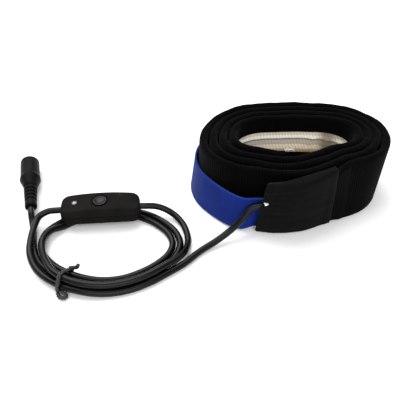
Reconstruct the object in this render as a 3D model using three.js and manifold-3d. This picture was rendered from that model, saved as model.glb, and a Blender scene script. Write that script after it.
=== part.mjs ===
// Dew heater strip for a telescope: a long knitted sleeve with a heating tape in it, rolled up,
// with an elastic strap on its end, and a lead with an in-line push switch and a power socket.
// Millimetres, +Z up. The origin is under the middle of the roll, on the surface it stands on.

import * as THREE from 'three';
import { mergeVertices } from 'three/addons/utils/BufferGeometryUtils.js';
import Module from 'manifold-3d';

const wasm = await Module();
wasm.setup();

// Driving dimensions

const clearance = 0.3;            // between pieces that touch

const stripWidth = 35;            // standing height of the roll
const rollCentre = [-0.6, -3.4];  // of the hole's guide
const stripThickness = 4.2;
const clothWall = 0.8;            // knitted cover
const hemRise = 1.6;              // rounding of its upper and lower edges
const hemOut = 1.1;
const cavityFloor = 1.3;          // bottom of its hollow
const lipHeight = 10;             // cover folded over the heating tape, above and below
const midPitch = 5;               // from one turn to the next, on average
const rightLean = 7;              // upper edges out and lower edges in, at the right-hand bend
const leanPivot = 0.65;           // share of the height that the lean leaves in place
const turnCount = 4.042;          // from the inner end to the mouth of the end pocket
const stationsPerTurn = 30;
const plainTailTurns = 0.28;      // inner end without heating tape

const mouthSlant = 0.013;         // turns that the mouth's lower end is ahead of its upper end
const slantStart = 3.94;

const tapeThickness = 0.5;
const tapeWidth = 22;
const feltThickness = 0.9;
const feltLow = 5.4;              // its lower edge; the wires run along its edges
const wireSize = 0.8;

const pocketLength = 40;
const pocketThickness = 7.6;
const pocketThin = 0.82;          // share of the thickness over the strip's end
const pocketFull = 3.985;          // turn from which it has its whole thickness
const pocketWall = 0.7;
const pocketHem = 0.8;
const pocketRise = 0.5;           // upper edge above the strip's
const pocketOverlap = 16;         // sleeve of the pocket over the strip's end

const strapWidth = 21;
const strapThickness = 1.0;
const strapLift = 1.0;            // lower edge above the surface
const strapTuck = 12;             // sewn into the pocket
const strapEndTurn = 4.62;
const strapLeave = 0.042;         // turns that it takes to bow out past the mouth
const strapSettled = 4.15;        // turn from which its upper edge lies on the roll
const strapFlat = 4.36;           // turn from which it all lies flat there
const strapBow = 3.6;
const strapLean = 2.6;            // lower edge out
const hookThickness = 0.9;
const hookTurns = 0.17;

const leadDiameter = 3.5;
const leadSides = 8;
const leadExitHeight = 18;
const leadTuck = 13;              // length of the lead inside the pocket
const coreDiameter = 1.2;
const crimpDiameter = 2.2;
const crimpLength = 7;

const coilCentre = [-98.1, -49.2];   // loose coil of the lead, innermost strand
const coilHalfLength = 33.5;
const coilHalfWidth = 25;
const coilStations = 20;

const switchPlace = [-104.3, -28.4, 4.1];
const switchTurn = 4.7;           // degrees
const switchLength = 42.5;
const switchWidth = 15.4;
const switchEndHeight = 8.0;
const switchHeight = 9.8;         // at the middle of the arched top
const switchCorner = 4.6;
const switchWall = 1.4;
const switchSplit = 4.5;          // parting line above the underside
const splitGroove = 0.35;
const cableEntryHeight = 4.5;

const buttonDiameter = 7.2;
const buttonFlange = 9.0;
const buttonFlangeThickness = 0.7;
const buttonProud = 0.6;
const buttonDish = 0.7;
const buttonTravel = 1.2;
const buttonRecess = 9.6;
const recessDepth = 0.6;

const boardSize = [26, 9, 0.8];
const boardCentre = -3;
const boardRise = switchWall + clearance;
const latchSize = 7.4;
const latchHeight = 2.6;
const plungerSize = 2.4;
const plungerDepth = 0.9;          // of its foot in the latch body
const ledPlace = -13.4;
const ledDiameter = 3.0;
const ledProud = 0.5;
const resistorDiameter = 1.6;
const resistorLength = 5;
const screwPlace = [14.6, 4.7];
const screwShank = 1.8;
const screwHead = 3.6;
const screwHeadHeight = 1.3;
const screwLength = 6.2;

const socketHead = 11.1;
const socketBulge = 11.8;
const socketHeadLength = 17;
const socketLength = 43;
const reliefLength = 19;
const reliefDiameter = 7.6;
const reliefEnd = 6.6;
const reliefGrooves = 5;
const grooveDepth = 0.9;
const socketBore = 8.8;           // moulding round the insert
const insertLength = 13;
const plugBore = 6.0;
const plugDepth = 10;
const pinDiameter = 2.1;
const socketPlace = [-143.7, -25.1];
const socketAim = [-155.5, 17.4];

const tieThickness = 1.0;
const tieWidth = 2.0;
const tieStation = 1.55;
const tieLift = 1.8;              // strands raised by the band that passes under them
const leadEntry = 12;             // lead inside the strain relief

// Finishes

const finish = (color, roughness, metalness = 0) =>
  new THREE.MeshStandardMaterial({ color, roughness, metalness });

const blackKnit = finish(0x15161a, 0.95);
const plainCloth = finish(0x17181a, 0.9);
const silverKnit = finish(0xb8ad9c, 0.8);
const greyFelt = finish(0x8a8a86, 1.0);
const blueWeb = finish(0x24308a, 0.85);
const hookTape = finish(0x1b1b1d, 0.8);
const blackCable = finish(0x1c1c1b, 0.45);
const blackPlastic = finish(0x202021, 0.6);
const buttonPlastic = finish(0x121213, 0.4);
const clearPlastic = finish(0xe8eef0, 0.15);
const greenBoard = finish(0x2f5a3a, 0.5);
const steel = finish(0xb4b6b8, 0.35, 1);
const brass = finish(0xb59a5a, 0.35, 1);
const copper = finish(0xb06a42, 0.4, 1);

const part = new THREE.Group();
part.name = 'dew_heater_strip';

function add(name, geometry, material, group = part) {
  const mesh = new THREE.Mesh(geometry, material);
  mesh.name = name;
  group.add(mesh);
  return mesh;
}

// Solids

function toSolid(geometry) {
  const bare = geometry.clone();
  bare.deleteAttribute('normal');
  bare.deleteAttribute('uv');
  const merged = mergeVertices(bare, 1e-4);
  return new wasm.Manifold(new wasm.Mesh({
    numProp: 3,
    vertProperties: new Float32Array(merged.attributes.position.array),
    triVerts: new Uint32Array(merged.index.array),
  }));
}

function toGeometry(solid) {
  const mesh = solid.getMesh();
  const geometry = new THREE.BufferGeometry();
  geometry.setAttribute('position', new THREE.BufferAttribute(new Float32Array(mesh.vertProperties), 3));
  geometry.setIndex(new THREE.BufferAttribute(new Uint32Array(mesh.triVerts), 1));
  return geometry;
}

function extrude(shape, depth, base = 0, curveSegments = 5) {
  const geometry = new THREE.ExtrudeGeometry(shape, { depth, bevelEnabled: false, curveSegments });
  return geometry.translate(0, 0, base);
}

// A column of round section, standing on z = base.
function column(diameter, height, base, sides = 20) {
  const geometry = new THREE.CylinderGeometry(diameter / 2, diameter / 2, height, sides);
  return geometry.rotateX(Math.PI / 2).translate(0, 0, base + height / 2);
}

function block(x, y, z, base) {
  return new THREE.BoxGeometry(x, y, z).translate(0, 0, base + z / 2);
}

// A closed body through rings of points that all follow one outline. Each quad is cut from its upper
// corner on one ring to its lower corner on the next, so that nested walls twist alike.
function loft(rings, outline) {
  const count = outline.length;
  const positions = rings.flatMap((ring) => ring.flatMap((point) => point.toArray()));
  const indices = [];
  for (let ring = 0; ring < rings.length - 1; ring++) {
    for (let side = 0; side < count; side++) {
      const here = ring * count + side;
      const next = ring * count + (side + 1) % count;
      if (outline[(side + 1) % count].y >= outline[side].y) {
        indices.push(here, next, here + count, next, next + count, here + count);
      } else {
        indices.push(here, next, next + count, here, next + count, here + count);
      }
    }
  }
  const caps = THREE.ShapeUtils.triangulateShape(outline, []);
  const last = (rings.length - 1) * count;
  for (const [a, b, c] of caps) {
    indices.push(c, b, a, last + a, last + b, last + c);
  }
  const geometry = new THREE.BufferGeometry();
  geometry.setAttribute('position', new THREE.Float32BufferAttribute(positions, 3));
  geometry.setIndex(indices);
  return geometry;
}

// Plan of the roll: the innermost turn's inner face, clockwise from the strip's inner end, and the pitch
// of the winding at each place

const holePoints = [
  [-4.5, -7, 5.95], [-16, -4.2, 5.9], [-25, -0.2, 6.2], [-28, 6, 5.7], [-26, 15.5, 4.75],
  [-18, 21.2, 4.9], [-2, 22.6, 5.1], [14, 22.4, 5], [27, 20.2, 4.85], [32.3, 13.5, 4.85],
  [29.5, 6, 4.95], [18.5, 1.6, 5.3], [6.5, -3.8, 5.7],
].map(([x, y, pitch]) => new THREE.Vector3(x + rollCentre[0], y + rollCentre[1], pitch));
const hole = new THREE.CatmullRomCurve3(holePoints, true, 'centripetal');

function outwardAt(t) {
  const tangent = hole.getTangent(t);
  return new THREE.Vector2(-tangent.y, tangent.x).normalize();
}

// Curve parameters of one turn's stations, evenly spaced along a turn in the middle of the roll.
function turnParameters() {
  const samples = 720;
  const midTurn = 2 * midPitch;
  const lengths = [0];
  let before = null;
  for (let i = 0; i <= samples; i++) {
    const t = (i / samples) % 1;
    const point = hole.getPoint(t);
    const outward = outwardAt(t);
    const here = new THREE.Vector2(point.x, point.y).addScaledVector(outward, midTurn);
    if (before) lengths.push(lengths.at(-1) + here.distanceTo(before));
    before = here;
  }
  const parameters = [];
  let i = 0;
  for (let station = 0; station < stationsPerTurn; station++) {
    const wanted = lengths.at(-1) * station / stationsPerTurn;
    while (lengths[i + 1] < wanted) i++;
    parameters.push((i + (wanted - lengths[i]) / (lengths[i + 1] - lengths[i])) / samples);
  }
  return [...parameters, 1];
}

const parameters = turnParameters();
const ramp = THREE.MathUtils.smoothstep;

// Where the strip is at a turn number: a point on the hole's edge, the way out from it, and the pitch.
function guideAt(turn) {
  const place = (turn % 1) * stationsPerTurn;
  const station = Math.floor(place);
  const t = THREE.MathUtils.lerp(parameters[station], parameters[station + 1], place - station);
  const point = hole.getPoint(t % 1);
  const outward = outwardAt(t % 1);
  const lean = rightLean * Math.max(0, outward.x) ** 2;
  return { point, outward, pitch: point.z, lean };
}

// The outer end leaves the roll: at a turn, how far it stands off, and how far its lower edge is out
const flap = [[3.5, 0, 0], [3.62, 0, 0], [3.72, 1.6, 3.4], [3.78, 2.9, 4.4], [3.825, 2.3, 5.2],
  [3.885, 2, 4.8], [3.93, 1, 1.4], [3.965, 0.8, 0.2], [4, 1.5, -2.2], [turnCount, 3.4, -4.6]];

// A smooth line through a column of the flap's values.
function flapAt(turn, column) {
  const here = THREE.MathUtils.clamp(turn, flap[0][0], turnCount);
  const i = Math.max(1, flap.findIndex(([knot]) => knot >= here));
  const slope = (k) => {
    const [before, after] = [flap[Math.max(k - 1, 0)], flap[Math.min(k + 1, flap.length - 1)]];
    return (after[column] - before[column]) / (after[0] - before[0]);
  };
  const span = flap[i][0] - flap[i - 1][0];
  const w = (here - flap[i - 1][0]) / span;
  return (2 * w ** 3 - 3 * w ** 2 + 1) * flap[i - 1][column] + (w ** 3 - 2 * w ** 2 + w) * span * slope(i - 1)
    + (3 * w ** 2 - 2 * w ** 3) * flap[i][column] + (w ** 3 - w ** 2) * span * slope(i);
}

// A point of the strip: outward from its middle, at a height.
function stripPoint(turn, outwards, height) {
  const share = height / stripWidth;
  const at = turn + mouthSlant * (0.5 - share) * ramp(turn, slantStart, turnCount);
  const { point, outward, pitch, lean } = guideAt(at);
  const offset = pitch * at + stripThickness / 2 + outwards + lean * (share - leanPivot)
    + flapAt(at, 1) + flapAt(at, 2) * (0.5 - share);
  return new THREE.Vector3(point.x + outward.x * offset, point.y + outward.y * offset, height);
}

// The turn number that lies a length back from another, along the middle of the strip.
function turnBefore(turn, length) {
  const step = 0.001;
  let travelled = 0;
  let here = turn;
  while (travelled < length) {
    const from = stripPoint(here, 0, stripWidth / 2);
    travelled += from.distanceTo(stripPoint(here - step, 0, stripWidth / 2));
    here -= step;
  }
  return here;
}

// Turn numbers of the rings between two ends, on the stations that every turn shares.
function ringTurns(from, to) {
  const turns = [from];
  const first = Math.floor(from * stationsPerTurn) + 1;
  for (let station = first; station / stationsPerTurn < to; station++) {
    const turn = station / stationsPerTurn;
    if (turn - turns.at(-1) > 0.2 / stationsPerTurn) turns.push(turn);
  }
  if (to - turns.at(-1) < 0.2 / stationsPerTurn) turns.pop();
  return [...turns, to];
}

function alongStrip(from, to, outline, place = stripPoint) {
  const rings = ringTurns(from, to).map((turn) => outline.map(({ x, y }) => place(turn, x, y)));
  return loft(rings, outline);
}

const corners = (points) => points.map(([x, y]) => new THREE.Vector2(x, y));

function rectangle(x0, x1, y0, y1) {
  return corners([[x0, y0], [x1, y0], [x1, y1], [x0, y1]]);
}

// Cover: one knitted sleeve, its hems rounded, open along the inner face over the heating tape

const pocketStart = turnBefore(turnCount, pocketLength);
const coverEnd = turnBefore(turnCount, pocketLength - pocketOverlap);
const half = stripThickness / 2;
const inside = half - clothWall;

const coverOutline = corners([
  [-half, hemRise], [-hemOut, 0], [hemOut, 0], [half, hemRise],
  [half, stripWidth - hemRise], [hemOut, stripWidth], [-hemOut, stripWidth],
  [-half, stripWidth - hemRise],
  [-half, stripWidth - lipHeight], [-inside, stripWidth - lipHeight],
  [-inside, stripWidth - cavityFloor], [inside, stripWidth - cavityFloor],
  [inside, cavityFloor], [-inside, cavityFloor], [-inside, lipHeight], [-half, lipHeight],
]);

// The sleeve and what is in it, drawn in a little where the pocket goes over its end
function sleevePoint(turn, outwards, height) {
  const drawnIn = 2 * (pocketWall + clearance) / stripWidth
    * ramp(turn, pocketStart - 0.03, pocketStart - 0.005);
  return stripPoint(turn, outwards, height + (stripWidth / 2 - height) * drawnIn);
}

add('strip_cover', alongStrip(0, coverEnd, coverOutline, sleevePoint), blackKnit);

// Inside the cover: heating tape behind the lips, felt behind the tape, and a wire along each edge

const tapeFace = -inside + clearance;
const tapeLow = (stripWidth - tapeWidth) / 2;
const feltFace = tapeFace + tapeThickness + clearance;
const wireHeights = [feltLow - clearance - wireSize, stripWidth - feltLow + clearance];

add('heating_tape', alongStrip(plainTailTurns, coverEnd,
  rectangle(tapeFace, tapeFace + tapeThickness, tapeLow, stripWidth - tapeLow), sleevePoint), silverKnit);
add('insulation_felt', alongStrip(0.01, coverEnd,
  rectangle(feltFace, feltFace + feltThickness, feltLow, stripWidth - feltLow), sleevePoint), greyFelt);
add('tail_facing', alongStrip(0.01, plainTailTurns - 0.01,
  rectangle(-half, -inside + clearance + tapeThickness, lipHeight + clearance,
    stripWidth - lipHeight - clearance)), plainCloth);

const wireTurn = turnBefore(turnCount, pocketLength - pocketOverlap - 3);
wireHeights.forEach((height, i) => {
  add(i ? 'heating_wire_upper' : 'heating_wire_lower', alongStrip(0.02, wireTurn,
    rectangle(-wireSize / 2, wireSize / 2, height, height + wireSize), sleevePoint), copper);
});

// End pocket: a plain cloth sleeve over the strip's end, with the joints and the strap sewn into it

const pocketHalf = pocketThickness / 2;
const pocketInside = pocketHalf - pocketWall;

const pocketOuter = corners([
  [-pocketHalf + pocketHem, 0], [pocketHalf - pocketHem, 0], [pocketHalf, pocketHem],
  [pocketHalf, stripWidth + pocketRise - pocketHem], [pocketHalf - pocketHem, stripWidth + pocketRise],
  [-pocketHalf + pocketHem, stripWidth + pocketRise],
  [-pocketHalf, stripWidth + pocketRise - pocketHem], [-pocketHalf, pocketHem],
]);
const pocketInner = rectangle(-pocketInside, pocketInside, pocketWall, stripWidth + pocketRise - pocketWall);
const past = 0.004;

// The pocket is thinner over the strip's end than at its mouth
function pocketPoint(turn, outwards, height) {
  const swell = THREE.MathUtils.lerp(pocketThin, 1, ramp(turn, pocketStart + 0.01, pocketFull));
  return stripPoint(turn, outwards * swell, height);
}

const pocketHollow = alongStrip(pocketStart - past, turnCount + past, pocketInner, pocketPoint);
add('end_pocket', toGeometry(toSolid(alongStrip(pocketStart, turnCount, pocketOuter, pocketPoint))
  .subtract(toSolid(pocketHollow))), plainCloth);

// Elastic strap: sewn into the pocket, round the left of the roll, and held on the far side by its hooks

const strapInsidePocket = -pocketInside + clearance;

function strapPoint(turn, outwards, height) {
  const { point, outward, pitch, lean } = guideAt(turn);
  const held = Math.min(turn, turnCount);
  const share = height / stripWidth;
  const inPocket = pitch * turn + stripThickness / 2 + strapInsidePocket
    + flapAt(held, 1) + flapAt(held, 2) * (0.5 - share);
  const onRoll = pitch * (turn - 1) + stripThickness + hookThickness + 2 * clearance;
  const settled = ramp(turn, turnCount, strapSettled);
  const left = ramp(turn, turnCount, turnCount + strapLeave);
  const leaning = left * (1 - ramp(turn, strapFlat - 0.1, strapFlat));
  const bowed = left * (1 - ramp(turn, turnCount + strapLeave, strapSettled));
  const slack = strapBow * bowed + strapLean * leaning * (1 - (height - strapLift) / strapWidth);
  const offset = THREE.MathUtils.lerp(inPocket, onRoll, settled) + slack
    + lean * (share - leanPivot) + outwards;
  return new THREE.Vector3(point.x + outward.x * offset, point.y + outward.y * offset, height);
}

add('elastic_strap', alongStrip(turnBefore(turnCount, strapTuck), strapEndTurn,
  rectangle(0, strapThickness, strapLift, strapLift + strapWidth), strapPoint), blueWeb);
add('hook_patch', alongStrip(strapEndTurn - hookTurns, strapEndTurn - 0.02,
  rectangle(-clearance - hookThickness, -clearance, strapLift + 1, strapLift + strapWidth - 1),
  strapPoint), hookTape);

// Lead: a loose coil of two and a half turns, in lanes outward from its innermost strand

const ground = leadDiameter / 2 + 0.12;
const socketRear = new THREE.Vector3(...socketPlace, socketBulge / 2);
const socketAxis = new THREE.Vector3(...socketAim, socketBulge / 2).sub(socketRear).normalize();
const onSocketAxis = (length) => socketRear.clone().addScaledVector(socketAxis, length);
const lane = leadDiameter + 0.5;

function coilPoint(station, outwards, height = ground) {
  const angle = -Math.PI / 2 - 2 * Math.PI * station / coilStations;
  const across = Math.cos(angle);
  const along = Math.sin(angle);
  const outward = new THREE.Vector2(across / coilHalfLength, along / coilHalfWidth).normalize();
  const fromTie = Math.abs((station % coilStations) - tieStation);
  const lift = tieLift * (1 - ramp(fromTie, 0.6, 2.2));
  return new THREE.Vector3(
    coilCentre[0] + coilHalfLength * across + outward.x * outwards,
    coilCentre[1] + coilHalfWidth * along + outward.y * outwards, height + lift);
}

const strand = (first, lanes) => lanes.map((entry, i) => coilPoint(first + i, ...[entry].flat()));
const point = ([x, y, z]) => new THREE.Vector3(x, y, z);

function tube(points, diameter, steps = points.length - 1, sides = leadSides) {
  const section = new THREE.Shape().absarc(0, 0, diameter / 2, 0, 2 * Math.PI, false);
  const extrudePath = new THREE.CatmullRomCurve3(points, false, 'centripetal');
  return new THREE.ExtrudeGeometry(section, { steps, extrudePath, curveSegments: sides / 2 });
}

// The innermost strand from the right end of the switch, along the front, to its left end
const innerLanes = [-1.0, -0.1, -0.5, -1.3, -1.3, -0.6, 0, 0, -0.6, -1.0, -0.2, 1.4];
const underSwitch = (outwards) => Array(7).fill(outwards);

const leadAcross = strapInsidePocket + strapThickness + clearance + leadDiameter / 2;
const tuckedLead = [leadTuck, leadTuck / 2, 0].map((length) =>
  stripPoint(turnBefore(turnCount, length), leadAcross, leadExitHeight));

const leadFromStrip = [
  ...tuckedLead,
  ...[[-23.6, -38.3, 17.2], [-28.4, -41.2, 12.4], [-35.2, -44.2, 6.2], [-42.6, -48.6, 3.0],
    [-50.3, -54.1, ground], [-58.1, -62.5, ground]].map(point),
  ...strand(17, [6.9, 6.6, 7.3, 7.8, 7.8, 7.1, [6.7, 2.9], [6.1, 5.0], [6.0, 5.6], [8.8, 5.9]]),
  ...[[-136.8, -33.4, 7.0], [-132.3, -30.9, 8.3], [-127.5, -30.3, 8.5], [-121.7, -29.8, 8.5]].map(point),
];

const leadFromSwitch = [
  ...[[-86.9, -27.0, 8.5], [-80.5, -26.5, 8.4], [-73.3, -25.4, 6.8], [-65.9, -27.4, 4.0],
    [-60.3, -33.4, 2.4], [-57.5, -41.0, 2.0]].map(point),
  ...strand(15, [[7.9, 2.3], [6.9, 4.5], [4.6, 5.4], [4.6, 5.4], [5.3, 5.4], [5.9, 5.3], [5.9, 5.3],
    [4.4, 5.6], [1.3, 5.7], [0, 5.6], [-0.2, 5.6], [-0.8, 4.4]]),
  ...strand(27, underSwitch(-1.9)),
  ...strand(34, innerLanes),
  ...strand(46, [2.4, ...underSwitch(2.0)]),
  ...strand(54, innerLanes.map((outwards) => outwards + lane)),
  ...[[-139.4, -39.8, ground], [-141.2, -33.9, 3.3], [-142.5, -29.4, 5.7]].map(point),
  onSocketAxis(0), onSocketAxis(leadEntry),
];

add('lead_strip_to_switch', tube(leadFromStrip, leadDiameter), blackCable);
add('lead_switch_to_socket', tube(leadFromSwitch, leadDiameter), blackCable);

// Joints in the pocket: the lead's two cores, each crimped to a heating wire

const coreStart = leadTuck + clearance;
const crimpEnd = pocketLength - pocketOverlap - 3 - clearance;
['lower', 'upper'].forEach((edge, i) => {
  const sign = i ? 1 : -1;
  const crimpHeight = wireHeights[i] + wireSize / 2;
  const at = (length, outwards, height) => stripPoint(turnBefore(turnCount, length), outwards, height);
  const crimpStart = crimpEnd - crimpLength + 1;
  add(`core_wire_${edge}`, tube([
    at(coreStart, leadAcross, leadExitHeight + sign * 0.9),
    at(coreStart + 1, leadAcross, leadExitHeight + sign * 1.4),
    at(coreStart + 1.6, 0.4, (leadExitHeight + crimpHeight) / 2),
    at(coreStart + 1.2, 0, crimpHeight - sign * (crimpDiameter / 2 + clearance)),
  ], coreDiameter, 6, 6), copper);
  add(`crimp_${edge}`, tube([
    at(crimpStart, 0, crimpHeight), at((crimpStart + crimpEnd) / 2, 0, crimpHeight),
    at(crimpEnd, 0, crimpHeight),
  ], crimpDiameter, 2, 8), steel);
});

// Twist tie round the four strands at the front of the coil

const tieStrands = [[-0.35, ground], [7.35, ground], [5.1, 5.4]].map(([across, up]) =>
  new THREE.Vector2(across, up + tieLift));

// An outline at one distance outside a convex set of centres, listed anticlockwise.
function beltPoints(centres, radius, perCorner = 5) {
  return centres.flatMap((centre, i) => {
    const before = centres.at(i - 1);
    const after = centres[(i + 1) % centres.length];
    const start = Math.atan2(centre.y - before.y, centre.x - before.x) - Math.PI / 2;
    let end = Math.atan2(after.y - centre.y, after.x - centre.x) - Math.PI / 2;
    while (end < start) end += 2 * Math.PI;
    return Array.from({ length: perCorner }, (_, k) => {
      const angle = start + (end - start) * k / (perCorner - 1);
      return new THREE.Vector2(centre.x + radius * Math.cos(angle), centre.y + radius * Math.sin(angle));
    });
  });
}

const tieInside = leadDiameter / 2 + 3 * clearance;
const tieShape = new THREE.Shape(beltPoints(tieStrands, tieInside + tieThickness));
tieShape.holes.push(new THREE.Path(beltPoints(tieStrands, tieInside)));
const tieFrom = coilPoint(tieStation, 0, 0);
const tieOut = coilPoint(tieStation, 1, 0).sub(tieFrom);
const up = new THREE.Vector3(0, 0, 1);
const tieAlong = new THREE.Vector3().crossVectors(tieOut, up);
const tieFrame = new THREE.Matrix4().makeBasis(tieOut, up, tieAlong)
  .setPosition(new THREE.Vector3(tieFrom.x, tieFrom.y, 0));
const band = extrude(tieShape, tieWidth, -tieWidth / 2, 5).applyMatrix4(tieFrame);
const tieEnds = tube([[7.2, 1.0, 0], [11.2, 1.0, 0.8], [13.0, 1.0, -3.4], [12.6, 1.0, -7.6]].map(
  ([x, y, z]) => new THREE.Vector3(x, y, z).applyMatrix4(tieFrame)), 1.7, 6, 6);
add('twist_tie', toGeometry(toSolid(band).add(toSolid(tieEnds))), blackCable);

// In-line switch, in its own frame: length along x, underside at z = 0

const inlineSwitch = new THREE.Group();
inlineSwitch.position.set(...switchPlace);
inlineSwitch.rotation.z = THREE.MathUtils.degToRad(switchTurn);
part.add(inlineSwitch);

function roundedRectangle(length, width, radius) {
  const x = length / 2;
  const y = width / 2;
  return new THREE.Shape()
    .moveTo(-x + radius, -y).lineTo(x - radius, -y).absarc(x - radius, -y + radius, radius, -Math.PI / 2, 0)
    .lineTo(x, y - radius).absarc(x - radius, y - radius, radius, 0, Math.PI / 2)
    .lineTo(-x + radius, y).absarc(-x + radius, y - radius, radius, Math.PI / 2, Math.PI)
    .lineTo(-x, -y + radius).absarc(-x + radius, -y + radius, radius, Math.PI, 1.5 * Math.PI);
}

// Height of the arched top over a place along the switch
const archRise = switchHeight - switchEndHeight;
const archRadius = (switchLength ** 2 / 4 + archRise ** 2) / (2 * archRise);
const archAt = (x) => switchHeight - archRadius + Math.sqrt(archRadius ** 2 - x ** 2);

// The switch's rounded block between two heights, its top cut to the arch a distance below the outside.
function archedBlock(inset, base, belowTop) {
  const plan = roundedRectangle(switchLength - 2 * inset, switchWidth - 2 * inset,
    Math.max(switchCorner - inset, 0.5));
  const reach = switchLength / 2 + 1;
  const steps = 12;
  const profile = new THREE.Shape([
    new THREE.Vector2(-reach, base), new THREE.Vector2(reach, base),
    ...Array.from({ length: steps + 1 }, (_, i) => {
      const x = reach * (1 - 2 * i / steps);
      return new THREE.Vector2(x, archAt(x) - belowTop);
    }),
  ]);
  const side = extrude(profile, switchWidth + 2, -switchWidth / 2 - 1).rotateX(Math.PI / 2);
  return toSolid(extrude(plan, switchHeight + 1, -0.5, 4)).intersect(toSolid(side));
}

function slab(from, to) {
  return toSolid(block(switchLength + 4, switchWidth + 4, to - from, from));
}

const cableBores = toSolid(column(leadDiameter + 3 * clearance, switchLength + 2, -switchLength / 2 - 1, 16)
  .rotateY(Math.PI / 2).translate(0, 0, cableEntryHeight));
const shell = archedBlock(0, 0, 0);
const cavity = archedBlock(switchWall, switchWall, switchWall);
const screwBores = [];
const screwPosts = [];
for (const side of [-1, 1]) {
  const place = [screwPlace[0], side * screwPlace[1], 0];
  screwPosts.push(toSolid(column(screwShank + 2 * switchWall, switchHeight, 0, 12).translate(...place)));
  const shank = column(screwShank + 2 * clearance, screwLength + clearance + 1, -1, 10);
  const head = column(screwHead + 2 * clearance, screwHeadHeight + clearance + 1, -1, 12);
  screwBores.push(toSolid(shank.translate(...place)).add(toSolid(head.translate(...place))));
}
const posts = screwPosts[0].add(screwPosts[1]).intersect(archedBlock(0.4, 0.4, 0.4));
const bores = screwBores[0].add(screwBores[1]);

const lowerTop = switchSplit - clearance / 2;
const upperBase = switchSplit + clearance / 2;
const groove = toSolid(block(switchLength + 4, switchWidth + 4, splitGroove, lowerTop - splitGroove))
  .subtract(archedBlock(splitGroove, 0, 0));
const boardRest = boardRise - clearance;
const ribs = [-10, 4].map((x) => toSolid(block(1.2, boardSize[1] - 1, boardRest - switchWall + 0.2,
  switchWall - 0.2).translate(x, 0, 0)));
const shellWithPosts = shell.subtract(cavity).add(posts);
add('switch_lower_shell', toGeometry(shellWithPosts.intersect(slab(-1, lowerTop))
  .add(ribs[0]).add(ribs[1]).subtract(groove).subtract(bores).subtract(cableBores)),
blackPlastic, inlineSwitch);

const buttonBore = toSolid(column(buttonDiameter + 2 * clearance, switchHeight, switchSplit, 28));
const recess = toSolid(column(buttonRecess, 4, switchHeight - recessDepth, 28));
const ledBore = toSolid(column(ledDiameter + 2 * clearance, switchHeight, switchSplit, 16)
  .translate(ledPlace, 0, 0));
add('switch_upper_shell', toGeometry(shellWithPosts.intersect(slab(upperBase, switchHeight + 2))
  .subtract(buttonBore).subtract(recess).subtract(ledBore).subtract(bores).subtract(cableBores)),
blackPlastic, inlineSwitch);

for (const side of [-1, 1]) {
  const profile = corners([[0, clearance], [screwHead / 2, clearance],
    [screwHead / 2, clearance + screwHeadHeight - 0.4], [screwShank / 2, clearance + screwHeadHeight],
    [screwShank / 2, screwLength - 1], [0, screwLength]]);
  add(side < 0 ? 'shell_screw_near' : 'shell_screw_far', new THREE.LatheGeometry(profile, 10)
    .rotateX(Math.PI / 2).translate(screwPlace[0], side * screwPlace[1], 0), steel, inlineSwitch);
}

// Push button: a dished cap on a flange under the shell, and the plunger of the latch below it
const ceiling = switchHeight - switchWall;
const flangeTop = ceiling - 0.25 - clearance;
const buttonTop = switchHeight - recessDepth + buttonProud;
const radius = buttonDiameter / 2;
const capProfile = corners([
  [0, flangeTop - buttonFlangeThickness], [buttonFlange / 2, flangeTop - buttonFlangeThickness],
  [buttonFlange / 2, flangeTop], [radius, flangeTop], [radius, buttonTop - 0.4],
  [radius - 0.4, buttonTop], [radius - 0.9, buttonTop], [radius * 0.5, buttonTop - buttonDish * 0.75],
  [0, buttonTop - buttonDish],
]);
add('push_button', new THREE.LatheGeometry(capProfile, 28).rotateX(Math.PI / 2), buttonPlastic, inlineSwitch);

const boardTop = boardRise + boardSize[2];
add('switch_board', block(...boardSize, boardRise).translate(boardCentre, 0, 0), greenBoard, inlineSwitch);

const latchBase = boardTop + clearance;
const latchTop = latchBase + latchHeight;
const plungerTop = flangeTop - buttonFlangeThickness - clearance;
const plungerBase = latchTop - plungerDepth;
const latchWell = toSolid(block(plungerSize + 2 * clearance, plungerSize + 2 * clearance, 2 * latchHeight,
  plungerBase - buttonTravel - clearance));
add('latch_body', toGeometry(toSolid(block(latchSize, latchSize, latchHeight, latchBase))
  .subtract(latchWell)), blackPlastic, inlineSwitch);
add('latch_plunger', block(plungerSize, plungerSize, plungerTop - plungerBase, plungerBase),
  buttonPlastic, inlineSwitch);

// Indicator: a clear lens with two legs down to the board
const ledTop = archAt(ledPlace) + ledProud;
const ledProfile = [new THREE.Vector2(0, 5), new THREE.Vector2(ledDiameter / 2, 5)];
for (let i = 0; i <= 5; i++) {
  const angle = Math.PI / 2 * i / 5;
  ledProfile.push(new THREE.Vector2(ledDiameter / 2 * Math.cos(angle),
    ledTop - ledDiameter / 2 * (1 - Math.sin(angle))));
}
ledProfile.at(-1).x = 0;
let led = toSolid(new THREE.LatheGeometry(ledProfile, 16).rotateX(Math.PI / 2));
for (const side of [-1, 1]) {
  led = led.add(toSolid(block(0.5, 0.5, 5.5 - boardTop - clearance, boardTop + clearance)
    .translate(side * 0.8, 0, 0)));
}
add('indicator_led', toGeometry(led.translate([ledPlace, 0, 0])), clearPlastic, inlineSwitch);

add('led_resistor', new THREE.CylinderGeometry(resistorDiameter / 2, resistorDiameter / 2,
  resistorLength, 10).rotateZ(Math.PI / 2)
  .translate(-7.6, 2.6, boardTop + clearance + resistorDiameter / 2), brass, inlineSwitch);

// Power socket, in its own frame: its axis along z, from the end of the strain relief to the mouth

const socket = new THREE.Group();
socket.position.copy(socketRear);
socket.quaternion.setFromUnitVectors(up, socketAxis);
part.add(socket);

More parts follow.
